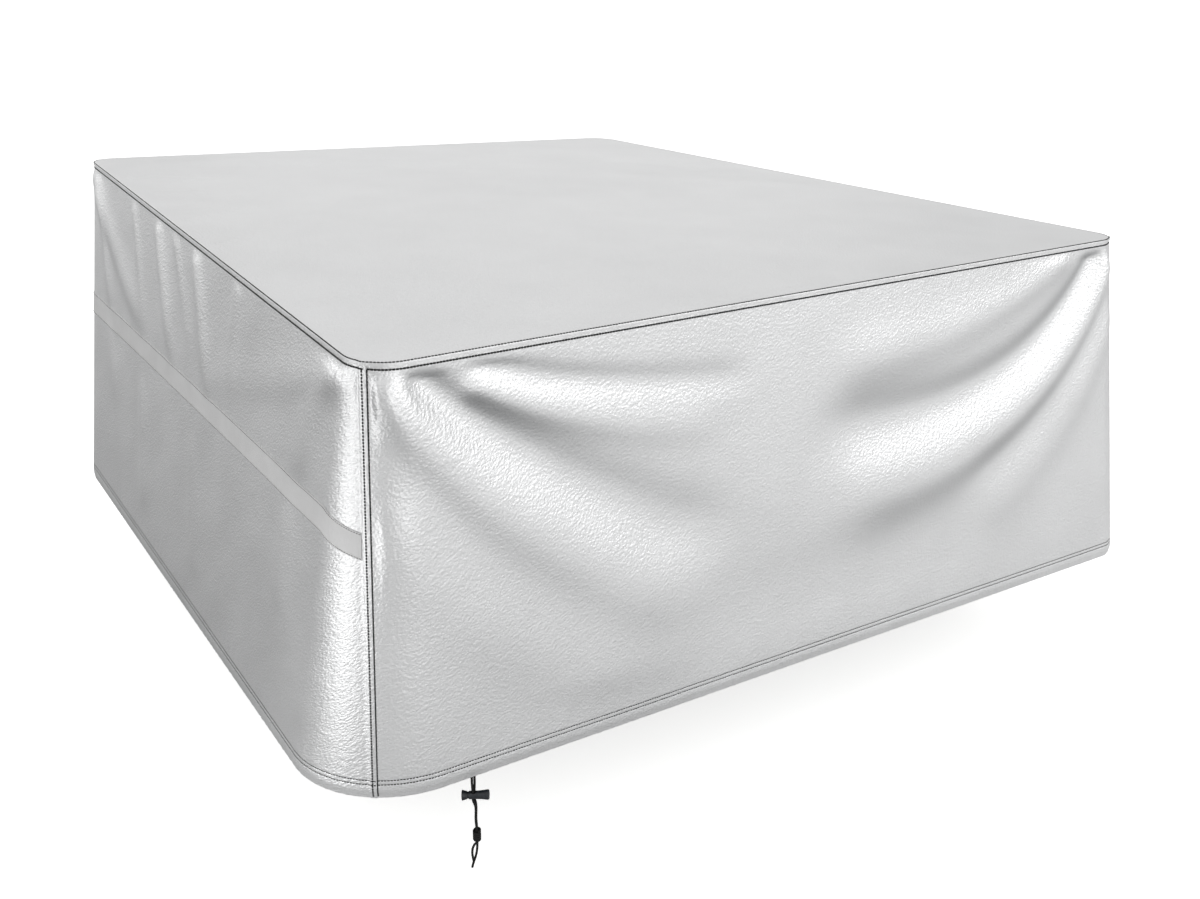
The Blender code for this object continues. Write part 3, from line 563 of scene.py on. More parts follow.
class Outline:
    """The cover's rounded plan at one level, walked anticlockwise by distance from the near corner."""

    def __init__(self, level):
        self.pieces = []
        self.seam = {}
        self.arc_share = {}
        self.corner = {}
        corners = rows_of(CORNER_FIELDS, CORNERS)
        for corner in corners:
            self.corner[corner["name"]] = np.array((
                corner["side_x"] * COVER_WIDTH / 2 + corner[level + "_dx"],
                corner["side_y"] * COVER_DEPTH / 2 + corner[level + "_dy"],
                corner[level + "_z"],
            ))
        places = [Vector(self.corner[corner["name"]][:2]) for corner in corners]
        distance = 0.0
        ends = []
        for index, corner in enumerate(corners):
            place = places[index]
            arriving = (place - places[index - 1]).normalized()
            leaving = (places[(index + 1) % 4] - place).normalized()
            turn = math.acos(max(-1.0, min(1.0, arriving.dot(leaving))))
            radius = corner[level + "_radius"]
            reach = radius * math.tan(turn / 2)
            centre = place - arriving * reach + Vector((-arriving.y, arriving.x)) * radius
            arc_start = place - arriving * reach
            ends.append((arc_start, place + leaving * reach, centre, leaving, turn, radius))
        for index, corner in enumerate(corners):
            arc_start, arc_end, centre, leaving, turn, radius = ends[index]
            length = radius * turn
            first_angle = math.atan2(arc_start.y - centre.y, arc_start.x - centre.x)
            self.pieces.append((distance, length, "arc", centre, radius, first_angle))
            seam = distance + length * corner[level + "_seam"]
            self.seam[corner["name"]] = seam
            self.arc_share[corner["name"]] = (seam - distance, length - (seam - distance))
            distance += length
            straight = ends[(index + 1) % 4][0] - arc_end
            self.pieces.append((distance, straight.length, "line", arc_end, leaving, 0.0))
            distance += straight.length
        self.total = distance

    def at(self, distances):
        """Plan points and outward directions at distances along the outline."""
        distances = np.mod(np.asarray(distances, float), self.total)
        places = np.zeros((*distances.shape, 2))
        outs = np.zeros((*distances.shape, 2))
        for start, length, kind, base, second, first_angle in self.pieces:
            here = (distances >= start - 1e-9) & (distances <= start + length + 1e-9)
            along = distances[here] - start
            if kind == "line":
                places[here] = np.array(base) + np.array(second) * along[:, None]
                outs[here] = (second.y, -second.x)
            else:
                angle = first_angle + along / second
                outward = np.stack([np.cos(angle), np.sin(angle)], axis=-1)
                places[here] = np.array(base) + outward * second
                outs[here] = outward
        return places, outs

    def height(self, places):
        """Height of this level over plan points, blended from the four corners' heights."""
        across = np.clip(places[..., 0] / COVER_WIDTH + 0.5, 0.0, 1.0)
        back = np.clip(places[..., 1] / COVER_DEPTH + 0.5, 0.0, 1.0)
        front_z = self.corner["near"][2] * (1 - across) + self.corner["right"][2] * across
        back_z = self.corner["left"][2] * (1 - across) + self.corner["back"][2] * across
        return front_z * (1 - back) + back_z * back


TOP_LEVEL = Outline("top")
HEM_LEVEL = Outline("hem")
LEVELS = (TOP_LEVEL, HEM_LEVEL)


def fold_relief(fold, across, down, width, height):
    """How far one fold lifts the cloth at points of a panel that is width by height."""
    shares = np.linspace(0.0, 1.0, FOLD_SAMPLES + 1)
    first, middle, last = (1 - shares) ** 2, 2 * shares * (1 - shares), shares ** 2
    line_s, line_t = [
        (first * fold["start_" + way] + middle * fold["bend_" + way] + last * fold["end_" + way]) * size
        for way, size in (("s", width), ("t", height))
    ]
    lengths = np.concatenate([[0.0], np.cumsum(np.hypot(np.diff(line_s), np.diff(line_t)))])
    narrowest = min(fold["start_width"], fold["end_width"])
    count = int(np.clip(np.ceil(lengths[-1] / narrowest / FOLD_OVERLAP), FOLD_FEWEST, FOLD_MOST))
    step = lengths[-1] / count
    spots = (np.arange(count) + 0.5) * step
    spot_s = np.interp(spots, lengths, line_s)
    spot_t = np.interp(spots, lengths, line_t)
    heights, widths = [
        np.interp(spots / lengths[-1], (0.0, 1.0), (fold["start_" + size], fold["end_" + size]))
        for size in ("height", "width")
    ]
    total = np.zeros(across.shape)
    for s, t, lift, spread in zip(spot_s, spot_t, heights, widths):
        apart = (across * width - s) ** 2 + (down * height - t) ** 2
        total += lift * step / (math.sqrt(math.pi) * spread) * np.exp(-apart / spread ** 2)
    return total


def band_line(ends, across, corner_share=0.0):
    """Share of the way down of a band edge, which dips a little as it turns the near corner."""
    return ends[0] + (ends[1] - ends[0]) * across + BAND_CORNER_DIP * np.maximum(corner_share, 0.0)


def ripple(places, seed, scale):
    """A smooth random wave along one direction, the same in every run."""
    chance = np.random.default_rng(seed)
    total = np.zeros_like(places)
    for _ in range(RIPPLE_WAVES):
        pace = chance.uniform(0.55, 1.8) / scale
        total += chance.uniform(0.4, 1.0) * np.sin(2 * math.pi * (places * pace + chance.uniform()))
    return total / 3.0


class Panel:
    """One side of the cover, from its own corner's seam to the next corner's."""

    def __init__(self, row):
        names = [corner[0] for corner in CORNERS]
        self.name = row["name"]
        self.first = row["from_corner"]
        self.second = names[(names.index(self.first) + 1) % 4]
        self.seed = names.index(self.first) + 1
        self.folds = rows_of(FOLD_FIELDS, FOLDS[self.name])
        self.begin = np.array([level.seam[self.first] for level in LEVELS])
        self.finish = np.array([level.seam[self.second] for level in LEVELS])
        for index, level in enumerate(LEVELS):
            if self.finish[index] < self.begin[index]:
                self.finish[index] += level.total
        self.columns = self.column_list(row["column_step"])
        self.rows = self.row_list(row["row_step"])

    def column_list(self, step):
        """Distances along the two outlines for each column, close together near the two seams."""
        low_arc = np.array([level.arc_share[self.first][1] for level in LEVELS])
        high_arc = np.array([level.arc_share[self.second][0] for level in LEVELS])
        turns = [self.begin + LIP_RAMP_END, self.begin + low_arc]
        turns += [self.finish - high_arc, self.finish + LAP_RAMP_START]
        columns = [self.begin + offset for offset in UNDER_OFFSETS]
        for low, high in zip(turns, turns[1:]):
            count = max(2, round(float((high - low).max()) / step))
            columns += [low + (high - low) * number / count for number in range(count)]
        columns.append(turns[-1])
        return np.array(columns + [self.finish + offset for offset in reversed(OVER_OFFSETS)])

    def row_list(self, step):
        """Shares of the way down, close together at the top edge, the hem's stitches and its fold."""
        near_top = [0.0, 0.0025, 0.005, 0.0066, 0.0072, DITCH_DROP, 0.0084, 0.0092, 0.0110, 0.0140, 0.0180]
        foot = [HEM_STEP_TO, HEM_STEP_FROM]
        for line in HEM_STITCHES:
            foot += [line + 0.0018, line + 0.0009, line, line - 0.0009, line - 0.0018]
        foot += [0.0225, 0.0190, 0.0155, 0.0120, 0.0090, 0.0060, 0.0035, HEM_THICKNESS / 2]
        low, high = near_top[-1], SIDE_HEIGHT - foot[0]
        count = round((high - low) / step)
        middle = [low + (high - low) * number / count for number in range(1, count)]
        down = near_top + middle + sorted(SIDE_HEIGHT - value for value in foot)
        return np.array(down) / SIDE_HEIGHT

    def across(self, distances):
        """Share of the way along this panel's upper edge."""
        return (distances[..., 0] - self.begin[0]) / (self.finish[0] - self.begin[0])

    def corner_share(self, distances):
        """Share of the way round the last corner's arc."""
        arc = TOP_LEVEL.arc_share[self.second][0]
        return np.maximum((distances[..., 0] - self.finish[0] + arc) / arc, 0.0)

    def lap(self, distances):
        """1 where this panel lies over the next one, falling to 0 beyond the seam's ramp."""
        return smooth_step(distances[..., 0] - self.finish[0], LAP_RAMP_START, LAP_RAMP_END)

    def plain_surface(self, distances, down):
        """Points at shares of the way down before laps and folds, with their outward directions."""
        (top_place, top_out), (hem_place, hem_out) = [
            level.at(distances[..., index]) for index, level in enumerate(LEVELS)
        ]
        top_height_here = TOP_LEVEL.height(top_place) - SIDE_TOP_DROP
        hem_height_here = HEM_LEVEL.height(hem_place)
        top_point = np.concatenate([top_place, top_height_here[..., None]], axis=-1)
        hem_point = np.concatenate([hem_place, hem_height_here[..., None]], axis=-1)
        down = down[..., None]
        outward = unit(top_out * (1 - down) + hem_out * down)
        outward = np.concatenate([outward, np.zeros_like(down)], axis=-1)
        return top_point * (1 - down) + hem_point * down, outward

    def surface(self, distances, down, extra=0.0):
        """Points on the outer face at shares of the way down, pushed out by extra, and outward directions."""
        point, outward = self.plain_surface(distances, down)
        lift = LAP_STEP * self.lap(distances) + self.relief(distances, point, down) + extra
        return point + outward * lift[..., None], outward

    def relief(self, distances, point, down):
        """Depth of the folds, the hem's tuck, the stitched grooves and the small puckers."""
        share = down[..., None]
        level_start = TOP_LEVEL.corner[self.first] * (1 - share) + HEM_LEVEL.corner[self.first] * share
        level_end = TOP_LEVEL.corner[self.second] * (1 - share) + HEM_LEVEL.corner[self.second] * share
        run = (level_end - level_start)[..., :2]
        width = np.linalg.norm(run, axis=-1)
        across = ((point - level_start)[..., :2] * run).sum(-1) / width ** 2
        total = np.zeros_like(across)
        for fold in self.folds:
            total += fold_relief(fold, across, down, float(width.mean()), SIDE_HEIGHT)
        seam_offset = np.minimum(distances[..., 1] - self.begin[1], self.finish[1] - distances[..., 1])
        total *= smooth_step(seam_offset, RELIEF_CLEAR_SEAM, RELIEF_FULL_SEAM)
        total *= smooth_step(down * SIDE_HEIGHT, RELIEF_CLEAR_TOP, RELIEF_FULL_TOP)
        total *= 1.0 - (1.0 - RELIEF_HEM_SHARE) * smooth_step(down, RELIEF_HEM_FROM, RELIEF_HEM_TO)
        if self.name == "left_panel":
            middle = (band_line(BAND_UPPER, across) + band_line(BAND_LOWER, across)) / 2
            total *= 1.0 - BAND_STIFFENS * np.exp(-(((down - middle) * SIDE_HEIGHT / BAND_REACH) ** 2))
        above_hem = (1.0 - down) * SIDE_HEIGHT
        total -= HEM_TUCK * (1.0 - smooth_step(above_hem, 0.0, HEM_TUCK_HEIGHT))
        total += self.puckers(distances, down, above_hem, seam_offset)
        return total

    def puckers(self, distances, down, above_hem, seam_offset):
        """Small gathers at the sewn edges, and the groove along each row of stitches."""
        along = distances[..., 1]
        in_hem = 1.0 - smooth_step(above_hem, HEM_PUCKER_TO, HEM_PUCKER_END)
        total = HEM_PUCKER_HEIGHT * ripple(along, self.seed, HEM_PUCKER_SCALE) * in_hem
        for row in rows_of(PUCKER_FIELDS, PUCKERS):
            away = (down * SIDE_HEIGHT if row["from_top"] else above_hem) - row["place"]
            wave = ripple(along, self.seed + row["seed_step"], row["scale"])
            total += row["height"] * wave * np.exp(-((away / row["reach"]) ** 2))
        total *= smooth_step(seam_offset, PUCKER_CLEAR_SEAM, PUCKER_FULL_SEAM)
        for line in HEM_STITCHES:
            total -= GROOVE_DEPTH * np.exp(-(((above_hem - line) / GROOVE_WIDTH) ** 2))
        return total


def build_panel(panel, material):
    """One side's cloth with its hem turned up inside, as one closed solid."""
    rows, columns = len(panel.rows), len(panel.columns)
    distances = np.repeat(panel.columns[None], rows, axis=0)
    down = np.repeat(panel.rows[:, None], columns, axis=1)
    outer, outward = panel.surface(distances, down)
    above_hem = (1.0 - down) * SIDE_HEIGHT
    doubled = (1.0 - smooth_step(above_hem, HEM_STEP_FROM, HEM_STEP_TO))
    doubled *= 1.0 - smooth_step(panel.lap(distances), 0.0, 1.0)
    thickness = CLOTH_THICKNESS + (HEM_THICKNESS - CLOTH_THICKNESS) * doubled
    inner = outer - outward * thickness[..., None]
    loops = [outer]
    downward = unit(outer[-1] - outer[-2])
    middle = (outer[-1] + inner[-1]) / 2
    for step in range(1, HEM_FOLD_STEPS + 1):
        angle = math.pi * step / (HEM_FOLD_STEPS + 1)
        half = thickness[-1][:, None] / 2
        turned = outward[-1] * half * math.cos(angle) + downward * half * math.sin(angle)
        loops.append((middle + turned)[None])
    loops.append(inner[::-1])
    share = np.concatenate([panel.rows, np.ones(HEM_FOLD_STEPS), panel.rows[::-1]])[:, None]
    flat_along = distances[:1, :, 0] * (1 - share) + distances[:1, :, 1] * share
    flat_down = np.concatenate([
        panel.rows * SIDE_HEIGHT,
        np.full(HEM_FOLD_STEPS, SIDE_HEIGHT),
        2 * SIDE_HEIGHT - panel.rows[::-1] * SIDE_HEIGHT,
    ])
    # Painted shade: each point's share grows as its fold face turns downward, and fades near the hem and
    # under the top.
    plain, _ = panel.plain_surface(distances, down)
    lift = ((outer - plain) * outward).sum(-1)
    slope = np.gradient(lift, axis=0) / np.gradient(panel.rows * SIDE_HEIGHT)[:, None]
    shade = smooth_step(-slope, 0.0, SHADE_FULL_SLOPE)
    shade *= smooth_step(above_hem, *SHADE_ABOVE_HEM) * smooth_step(down * SIDE_HEIGHT, *SHADE_BELOW_TOP)
    shades = np.concatenate([shade, np.repeat(shade[-1:], HEM_FOLD_STEPS, axis=0), shade[::-1]])
    name = panel.name.replace("panel", "sheet")
    return folded_sheet(name, rows, np.concatenate(loops), flat_along, flat_down, material, shades)


def top_height(places):
    """Height of the top's outer face: the corners' blend, and the cloth's thickness at the origin."""
    middle = TOP_LEVEL.height(np.zeros(2))
    inward = (1.0 - (2 * places[..., 0] / COVER_WIDTH) ** 2) * (1.0 - (2 * places[..., 1] / COVER_DEPTH) ** 2)
    return TOP_LEVEL.height(places) + np.maximum(inward, 0.0) * (CLOTH_THICKNESS - middle)


def crease_relief(places):
    """Height of the top's soft creases."""
    total = np.zeros(places.shape[:-1])
    for crease in rows_of(CREASE_FIELDS, TOP_CREASES):
        start = np.array((crease["start_x"], crease["start_y"]))
        run = np.array((crease["end_x"], crease["end_y"])) - start
        share = np.clip(((places - start) * run).sum(-1) / (run ** 2).sum(), 0.0, 1.0)
        apart = np.linalg.norm(places - start - run * share[..., None], axis=-1)
        total += crease["height"] * np.sin(math.pi * share) ** 0.6 * np.exp(-((apart / crease["width"]) ** 2))
    return total


def edge_rings(panels):
    """The top's rolled edge as rings of points from the lip inwards, lifted over the laps under it."""
    edge = rows_of(TOP_EDGE_FIELDS, TOP_EDGE)
    parts = []
    for panel in panels:
        after, before = [panel.columns[:, 0] - seam[0] for seam in (panel.begin, panel.finish)]
        chosen = (after >= LAP_OVER_EDGE - 1e-9) & (before <= LAP_UNDER_EDGE + 1e-9)
        layers = 2.0 + smooth_step(before[chosen], LAP_RAMP_START, LAP_RAMP_END)
        layers -= smooth_step(after[chosen], LAP_OVER_EDGE, LIP_RAMP_END)
        rings = np.zeros((len(edge), len(layers), 3))
        for row, line in enumerate(edge):
            down = max((line["drop"] - SIDE_TOP_DROP) / SIDE_HEIGHT, 0.0) if row < LIP_ROWS else 0.0
            point, outward = panel.plain_surface(panel.columns[chosen], np.full(len(layers), down))
            lift = LAP_STEP * layers * (1.0 - line["inset"] / edge[-1]["inset"])
            spot = point + outward * (lift - line["inset"])[:, None]
            rings[row, :, :2] = spot[:, :2]
            rings[row, :, 2] = top_height(spot[:, :2]) - line["drop"]
        parts.append(rings)
    return np.concatenate(parts, axis=1)


def build_top(panels, material):
    """The top's cloth, flat inside its rolled edge, as one closed solid."""
    rings = edge_rings(panels)
    count = rings.shape[1]
    border = rings[-1][:, :2]
    low, high = border.min(0), border.max(0)
    xs = np.linspace(low[0], high[0], round((high[0] - low[0]) / TOP_GRID))
    ys = np.linspace(low[1], high[1], round((high[1] - low[1]) / TOP_GRID))
    spots = np.stack(np.meshgrid(xs, ys, indexing="ij"), axis=-1).reshape(-1, 2)
    spots = spots[clearance(spots, border) > TOP_GRID * 0.45]
    joined = [Vector(spot) for spot in np.concatenate([border, spots])]
    loop = [list(range(count))]
    places, _, faces, given, _, _ = delaunay_2d_cdt(joined, [], loop, 1, 1e-7)
    inside = np.array([tuple(place) for place in places])
    owner = [sources[0] if sources else -1 for sources in given]
    flat = np.concatenate([inside, (top_height(inside))[:, None]], axis=-1)
    flat[:, 2] += crease_relief(inside)
    # Border points keep their ring's number, and the others follow the rings.
    edge_count = rings.shape[0] * count
    numbers = np.zeros(len(inside), int)
    extra = []
    for index, source in enumerate(owner):
        if 0 <= source < count:
            numbers[index] = edge_count - count + source
        else:
            numbers[index] = edge_count + len(extra)
            extra.append(index)
    outer = np.concatenate([rings.reshape(-1, 3), flat[extra]])
    ring_faces = grid_faces(rings.shape[0], count, wrap=True)
    middle_faces = [tuple(int(numbers[corner]) for corner in face) for face in faces]
    outer_faces = [tuple(int(corner) for corner in face) for face in ring_faces] + middle_faces
    normals = point_normals(outer, outer_faces)
    inner = outer - normals * CLOTH_THICKNESS
    shift = len(outer)
    inner_faces = [tuple(corner + shift for corner in reversed(face)) for face in outer_faces]
    nexts = [(column + 1) % count for column in range(count)]
    rim = [(column, column + shift, after + shift, after) for column, after in enumerate(nexts)]
    points = np.concatenate([outer, inner])
    uvs = points[:, :2].copy()
    drop = np.repeat([line[1] for line in TOP_EDGE], count)
    outwards = unit(rings.reshape(-1, 3)[:, :2])
    for start in (0, shift):
        uvs[start:start + edge_count] += outwards * drop[:, None]
    return add_mesh("top_sheet", points, outer_faces + inner_faces + rim, material, uvs)


def clearance(spots, border):
    """Distance of spots inside a closed border from it, and less than 0 outside."""
    after = np.roll(border, -1, axis=0)
    nearest = np.full(len(spots), np.inf)
    crossings = np.zeros(len(spots), int)
    for start, end in zip(border, after):
        run = end - start
        share = np.clip(((spots - start) @ run) / (run @ run), 0.0, 1.0)
        nearest = np.minimum(nearest, np.linalg.norm(spots - start - share[:, None] * run, axis=1))
        over = (start[1] > spots[:, 1]) != (end[1] > spots[:, 1])
        if over.any():
            crossing_x = start[0] + (spots[:, 1] - start[1]) * run[0] / (run[1] if run[1] else 1e-12)
            crossings += over & (spots[:, 0] < crossing_x)
    return np.where(crossings % 2 == 1, nearest, -nearest)


def point_normals(points, faces):
    """Normal of each point, the mean of its faces' own."""
    normals = np.zeros_like(points)
    for size in {len(face) for face in faces}:
        chosen = np.array([face for face in faces if len(face) == size])
        first = points[chosen[:, 1]] - points[chosen[:, 0]]
        second = points[chosen[:, -1]] - points[chosen[:, 0]]
        cross = np.cross(first, second)
        for corner in range(size):
            np.add.at(normals, chosen[:, corner], cross)
    return unit(normals)


def build_band(panel, material):
    """The tape sewn across the left panel."""
    arc_start = panel.begin + LIP_RAMP_END
    low = arc_start + (np.array([level.arc_share[panel.first][1] for level in LEVELS]) - LIP_RAMP_END) / 3
    chosen = (panel.columns[:, 0] >= low[0] - 1e-9)
    chosen &= panel.columns[:, 0] <= panel.finish[0] + LAP_RAMP_START + 1e-9
    columns = panel.columns[chosen]
    upper = band_line(BAND_UPPER, panel.across(columns), panel.corner_share(columns))
    lower = band_line(BAND_LOWER, panel.across(columns), panel.corner_share(columns))
    shares = np.linspace(0.0, 1.0, BAND_ROWS)[:, None]
    down = upper * (1 - shares) + lower * shares
    distances = np.repeat(columns[None], BAND_ROWS, axis=0)
    outer, outward = panel.surface(distances, down, GAP + BAND_THICKNESS)
    inner = outer - outward * BAND_THICKNESS
    points = np.concatenate([outer, inner[::-1]])
    one_face = np.linspace(0.0, BAND_WIDTH, BAND_ROWS)
    flat_down = np.concatenate([one_face, BAND_WIDTH + one_face])
    flat_along = np.repeat(columns[None, :, 0], len(points), axis=0)
    made = folded_sheet("band_sheet", BAND_ROWS, points, flat_along, flat_down, material)
    inset = BAND_STITCH_INSET / SIDE_HEIGHT
    lines = []
    for edge in (upper + inset, lower - inset):
        lines.append(panel.surface(columns, edge, GAP + BAND_THICKNESS))
    return made, lines


# Stitches
# --------


def stitch_rows(name, lines, kind):
    """Separate stitches of thread laid along lines, each line its points and its outward directions."""
    width, pitch, length = kind
    rings = np.array(STITCH_PROFILE)
    sides = STITCH_SIDES
    angles = 2 * math.pi * (np.arange(sides) + 0.25) / sides
    shares, sizes = rings.T[:, :, None, None]
    sideways = np.cos(angles)[:, None] * width * sizes
    outwards = np.sin(angles)[:, None] * STITCH_HEIGHT * sizes
    points = []
    for line, outward in lines:
        lengths = lengths_along(line)
        count = int(lengths[-1] / pitch)
        centres = (np.arange(count) + 0.5) * lengths[-1] / count
        middle, after, before = [
            at_lengths(centres + shift, lengths, line) for shift in (0.0, length / 2, -length / 2)
        ]
        tangent = unit(after - before)
        out = unit(at_lengths(centres, lengths, outward))
        out = unit(out - tangent * (out * tangent).sum(-1, keepdims=True))
        side_way = np.cross(tangent, out)
        middle, tangent, out, side_way = [part[:, None, None] for part in (middle, tangent, out, side_way)]
        points.append(middle + tangent * shares * length + side_way * sideways + out * outwards)
    points = np.concatenate(points).reshape(-1, 3)
    size = len(rings) * sides
    template = grid_faces(len(rings), sides, wrap=True).tolist()
    template += [range(sides)[::-1], range(size - sides, size)]
    faces = [[corner + base for corner in face] for base in range(0, len(points), size) for face in template]
    made = add_mesh(name, points, faces, THREAD, None, ROUND_SHARP)
    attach(made, "cover")


def finer(columns, parts=3):
    """Columns with more between each two."""
    steps = np.linspace(0, len(columns) - 1, (len(columns) - 1) * parts + 1)
    return at_lengths(steps, np.arange(len(columns)), columns)


def level_lines(panel, shares, last, lift):
    """Lines along a panel at shares of the way down."""
    fine = finer(panel.columns[len(UNDER_OFFSETS) - 4:last])
    return [panel.surface(fine, np.full(len(fine), share), lift) for share in shares]


def hem_lines(panel):
    """The two rows of stitches along one panel's hem."""
    return level_lines(panel, [1.0 - line / SIDE_HEIGHT for line in HEM_STITCHES], -1, -0.0001)


def ditch_lines(panel):
    """The row of stitches just under the top's lip."""
    return level_lines(panel, [DITCH_DROP / SIDE_HEIGHT], -3, 0.0001)


def corner_line(panel, distances, lift):
    """The stitches down one corner seam, at one distance along the outline."""
    down = np.linspace(0.012, 1.0 - 0.004 / SIDE_HEIGHT, 240)
    return [panel.surface(np.repeat(distances[None], len(down), axis=0), down, lift)]


# Drawcord and lock
# -----------------


def lock_placement():
    """World matrix of the lock's own frame, under the front hem a little to the right of the near corner."""
    near_place = HEM_LEVEL.corner["near"][:2]
    hem_run = HEM_LEVEL.corner["right"][:2] - near_place
    straight_start = HEM_LEVEL.pieces[1][0]
    straight_place = np.array(HEM_LEVEL.pieces[1][3])
    run = float(np.linalg.norm(hem_run))
    before = float(np.linalg.norm(straight_place - near_place))
    exit_place, exit_out = HEM_LEVEL.at(np.array([straight_start + CORD_SHARE * run - before]))
    spot = exit_place[0] - exit_out[0] * LOCK_BACK
    height = float(HEM_LEVEL.height(exit_place)[0]) - LOCK_DROP
    return Matrix.Translation((spot[0], spot[1], height)) @ Matrix.Rotation(LOCK_TURN, 4, "Z")


LOCK_FRAME = lock_placement()


def smooth_route(points, step):
    """Points spaced evenly along a smooth curve through the given ones."""
    padded = np.array([points[0] * 2 - points[1], *points, points[-1] * 2 - points[-2]])
    shares = np.arange(CURVE_PARTS)[:, None] / CURVE_PARTS
    dense = [
        (start * 2 + (end - before) * shares
         + (before * 2 - start * 5 + end * 4 - after) * shares ** 2
         + (start * 3 - before - end * 3 + after) * shares ** 3) / 2
        for before, start, end, after in zip(padded, padded[1:], padded[2:], padded[3:])
    ]
    return even(np.concatenate([*dense, padded[-2:-1]]), step)


def even(line, step):
    """A line's points spaced evenly, about step apart."""
    lengths = lengths_along(line)
    spots = np.linspace(0.0, lengths[-1], max(2, round(lengths[-1] / step)) + 1)
    return at_lengths(spots, lengths, line)


def braided_tube(name, line, diameter, node):
    """A cord's surface along a line, with the crossing ridges of its braid and rounded ends."""
    tangents = unit(np.gradient(line, axis=0))
    side = np.cross(tangents[0], (0.3, 0.9, 0.1))
    sides = [unit(side)]
    for tangent in tangents[1:]:
        last = sides[-1]
        sides.append(unit(last - tangent * (last @ tangent)))
    sides = np.array(sides)
    others = np.cross(tangents, sides)
    lengths = lengths_along(line)
    angles = 2 * math.pi * np.arange(TUBE_SIDES) / TUBE_SIDES
    turn = BRAID_STRANDS * angles[None, :]
    lead = 2 * math.pi * lengths[:, None] / BRAID_LEAD * 2
    ridges = np.maximum(np.cos(turn + lead), np.cos(turn - lead))
    radius = diameter / 2 + BRAID_DEPTH * (ridges - 0.35)
    end = np.minimum(lengths, lengths[-1] - lengths)
    closing = np.sqrt(np.clip(1.0 - (1.0 - end / (diameter * 0.35)).clip(0.0, 1.0) ** 2, 0.02, 1.0))
    radius = radius * closing[:, None]
    rings = line[:, None] + sides[:, None] * np.cos(angles)[None, :, None] * radius[..., None]
    rings = rings + others[:, None] * np.sin(angles)[None, :, None] * radius[..., None]
    count = len(line)
    faces = [tuple(face) for face in grid_faces(count, TUBE_SIDES, wrap=True)]
    faces.append(tuple(reversed(range(TUBE_SIDES))))
    faces.append(tuple(range((count - 1) * TUBE_SIDES, count * TUBE_SIDES)))
    made = add_mesh(name, rings.reshape(-1, 3), faces, CORD_BLACK, None, ROUND_SHARP)
    dress(made, node)
    return made


def strand_points(table):
    return [
        LOCK_FRAME @ (Vector((row["along"], -row["front"], row["up"])) / 1000)
        for row in rows_of(STRAND_FIELDS, table)
    ]


def knot_line():
    """The wraps of the knot, wound round both strands, with a short free end low on the left."""
    points = []
    for number in range(round(KNOT_TURNS * KNOT_POINTS_A_TURN) + 1):
        turn = number / KNOT_POINTS_A_TURN
        angle = KNOT_START_ANGLE + 2 * math.pi * turn
        points.append(Vector((
            KNOT_CENTRE_ALONG + KNOT_HALF_ALONG * math.cos(angle),
            KNOT_HALF_FRONT * math.sin(angle),
            KNOT_TOP - KNOT_PITCH * turn,
        )))
    last = points[-1]
    for shift in KNOT_STUB:
        points.append(last + Vector(shift))
    return even(np.array([tuple(LOCK_FRAME @ (point / 1000)) for point in points]), TUBE_STEP)


def build_drawcord():
    braided_tube("cord_knot", knot_line(), CORD_DIAMETER, "drawcord_knot")
    for name, table, others in (
        ("cord_a", STRAND_A, ["cord_knot", "cord_lock_barrel"]), ("cord_b", STRAND_B, ["cord_knot"]),
    ):
        line = smooth_route(strand_points(table), TUBE_STEP)
        braided_tube(name, line, CORD_DIAMETER, "drawcord_strand_" + name[-1])


build_drawcord()
for node in ("cord_lock_barrel", "cord_lock_plunger"):
    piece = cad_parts[node]
    piece.data.materials.clear()
    piece.data.materials.append(LOCK_PLASTIC)

# Cloth
# -----

panels = [Panel(row) for row in rows_of(PANEL_FIELDS, PANELS)]
for panel in panels:
    made = build_panel(panel, SIDE_CLOTH)
    dress(made, panel.name)

top_made = build_top(panels, TOP_CLOTH)
dress(top_made, "top_panel")

band_made, band_stitches = build_band(panels[3], BAND_TAPE)
dress(band_made, "side_band")

for index, panel in enumerate(panels):
    short = panel.name.split("_")[0]
    stitch_rows("hem_stitches_" + short, hem_lines(panel), HEM_STITCH)
    over = corner_line(panel, panel.finish - OVER_STITCH_INSET, 0.00005)
    stitch_rows("corner_stitches_" + panel.second, over, HEM_STITCH)
    following = panels[(index + 1) % 4]
    under = corner_line(following, following.begin + UNDER_STITCH_INSET, 0.0001)
    stitch_rows("corner_ditch_stitches_" + panel.second, under, DITCH_STITCH)
stitch_rows("top_ditch_stitches", [line for panel in panels for line in ditch_lines(panel)], DITCH_STITCH)
edge_ring = edge_rings(panels)[TOP_STITCH_RING]
edge_line = np.concatenate([edge_ring, edge_ring[:1]])
edge_out = np.zeros_like(edge_line)
edge_out[:, 2] = 1.0
stitch_rows("top_stitches", [(edge_line, edge_out)], TOP_STITCH)
stitch_rows("band_stitches", band_stitches, BAND_STITCH)

# Floor and light
# ---------------


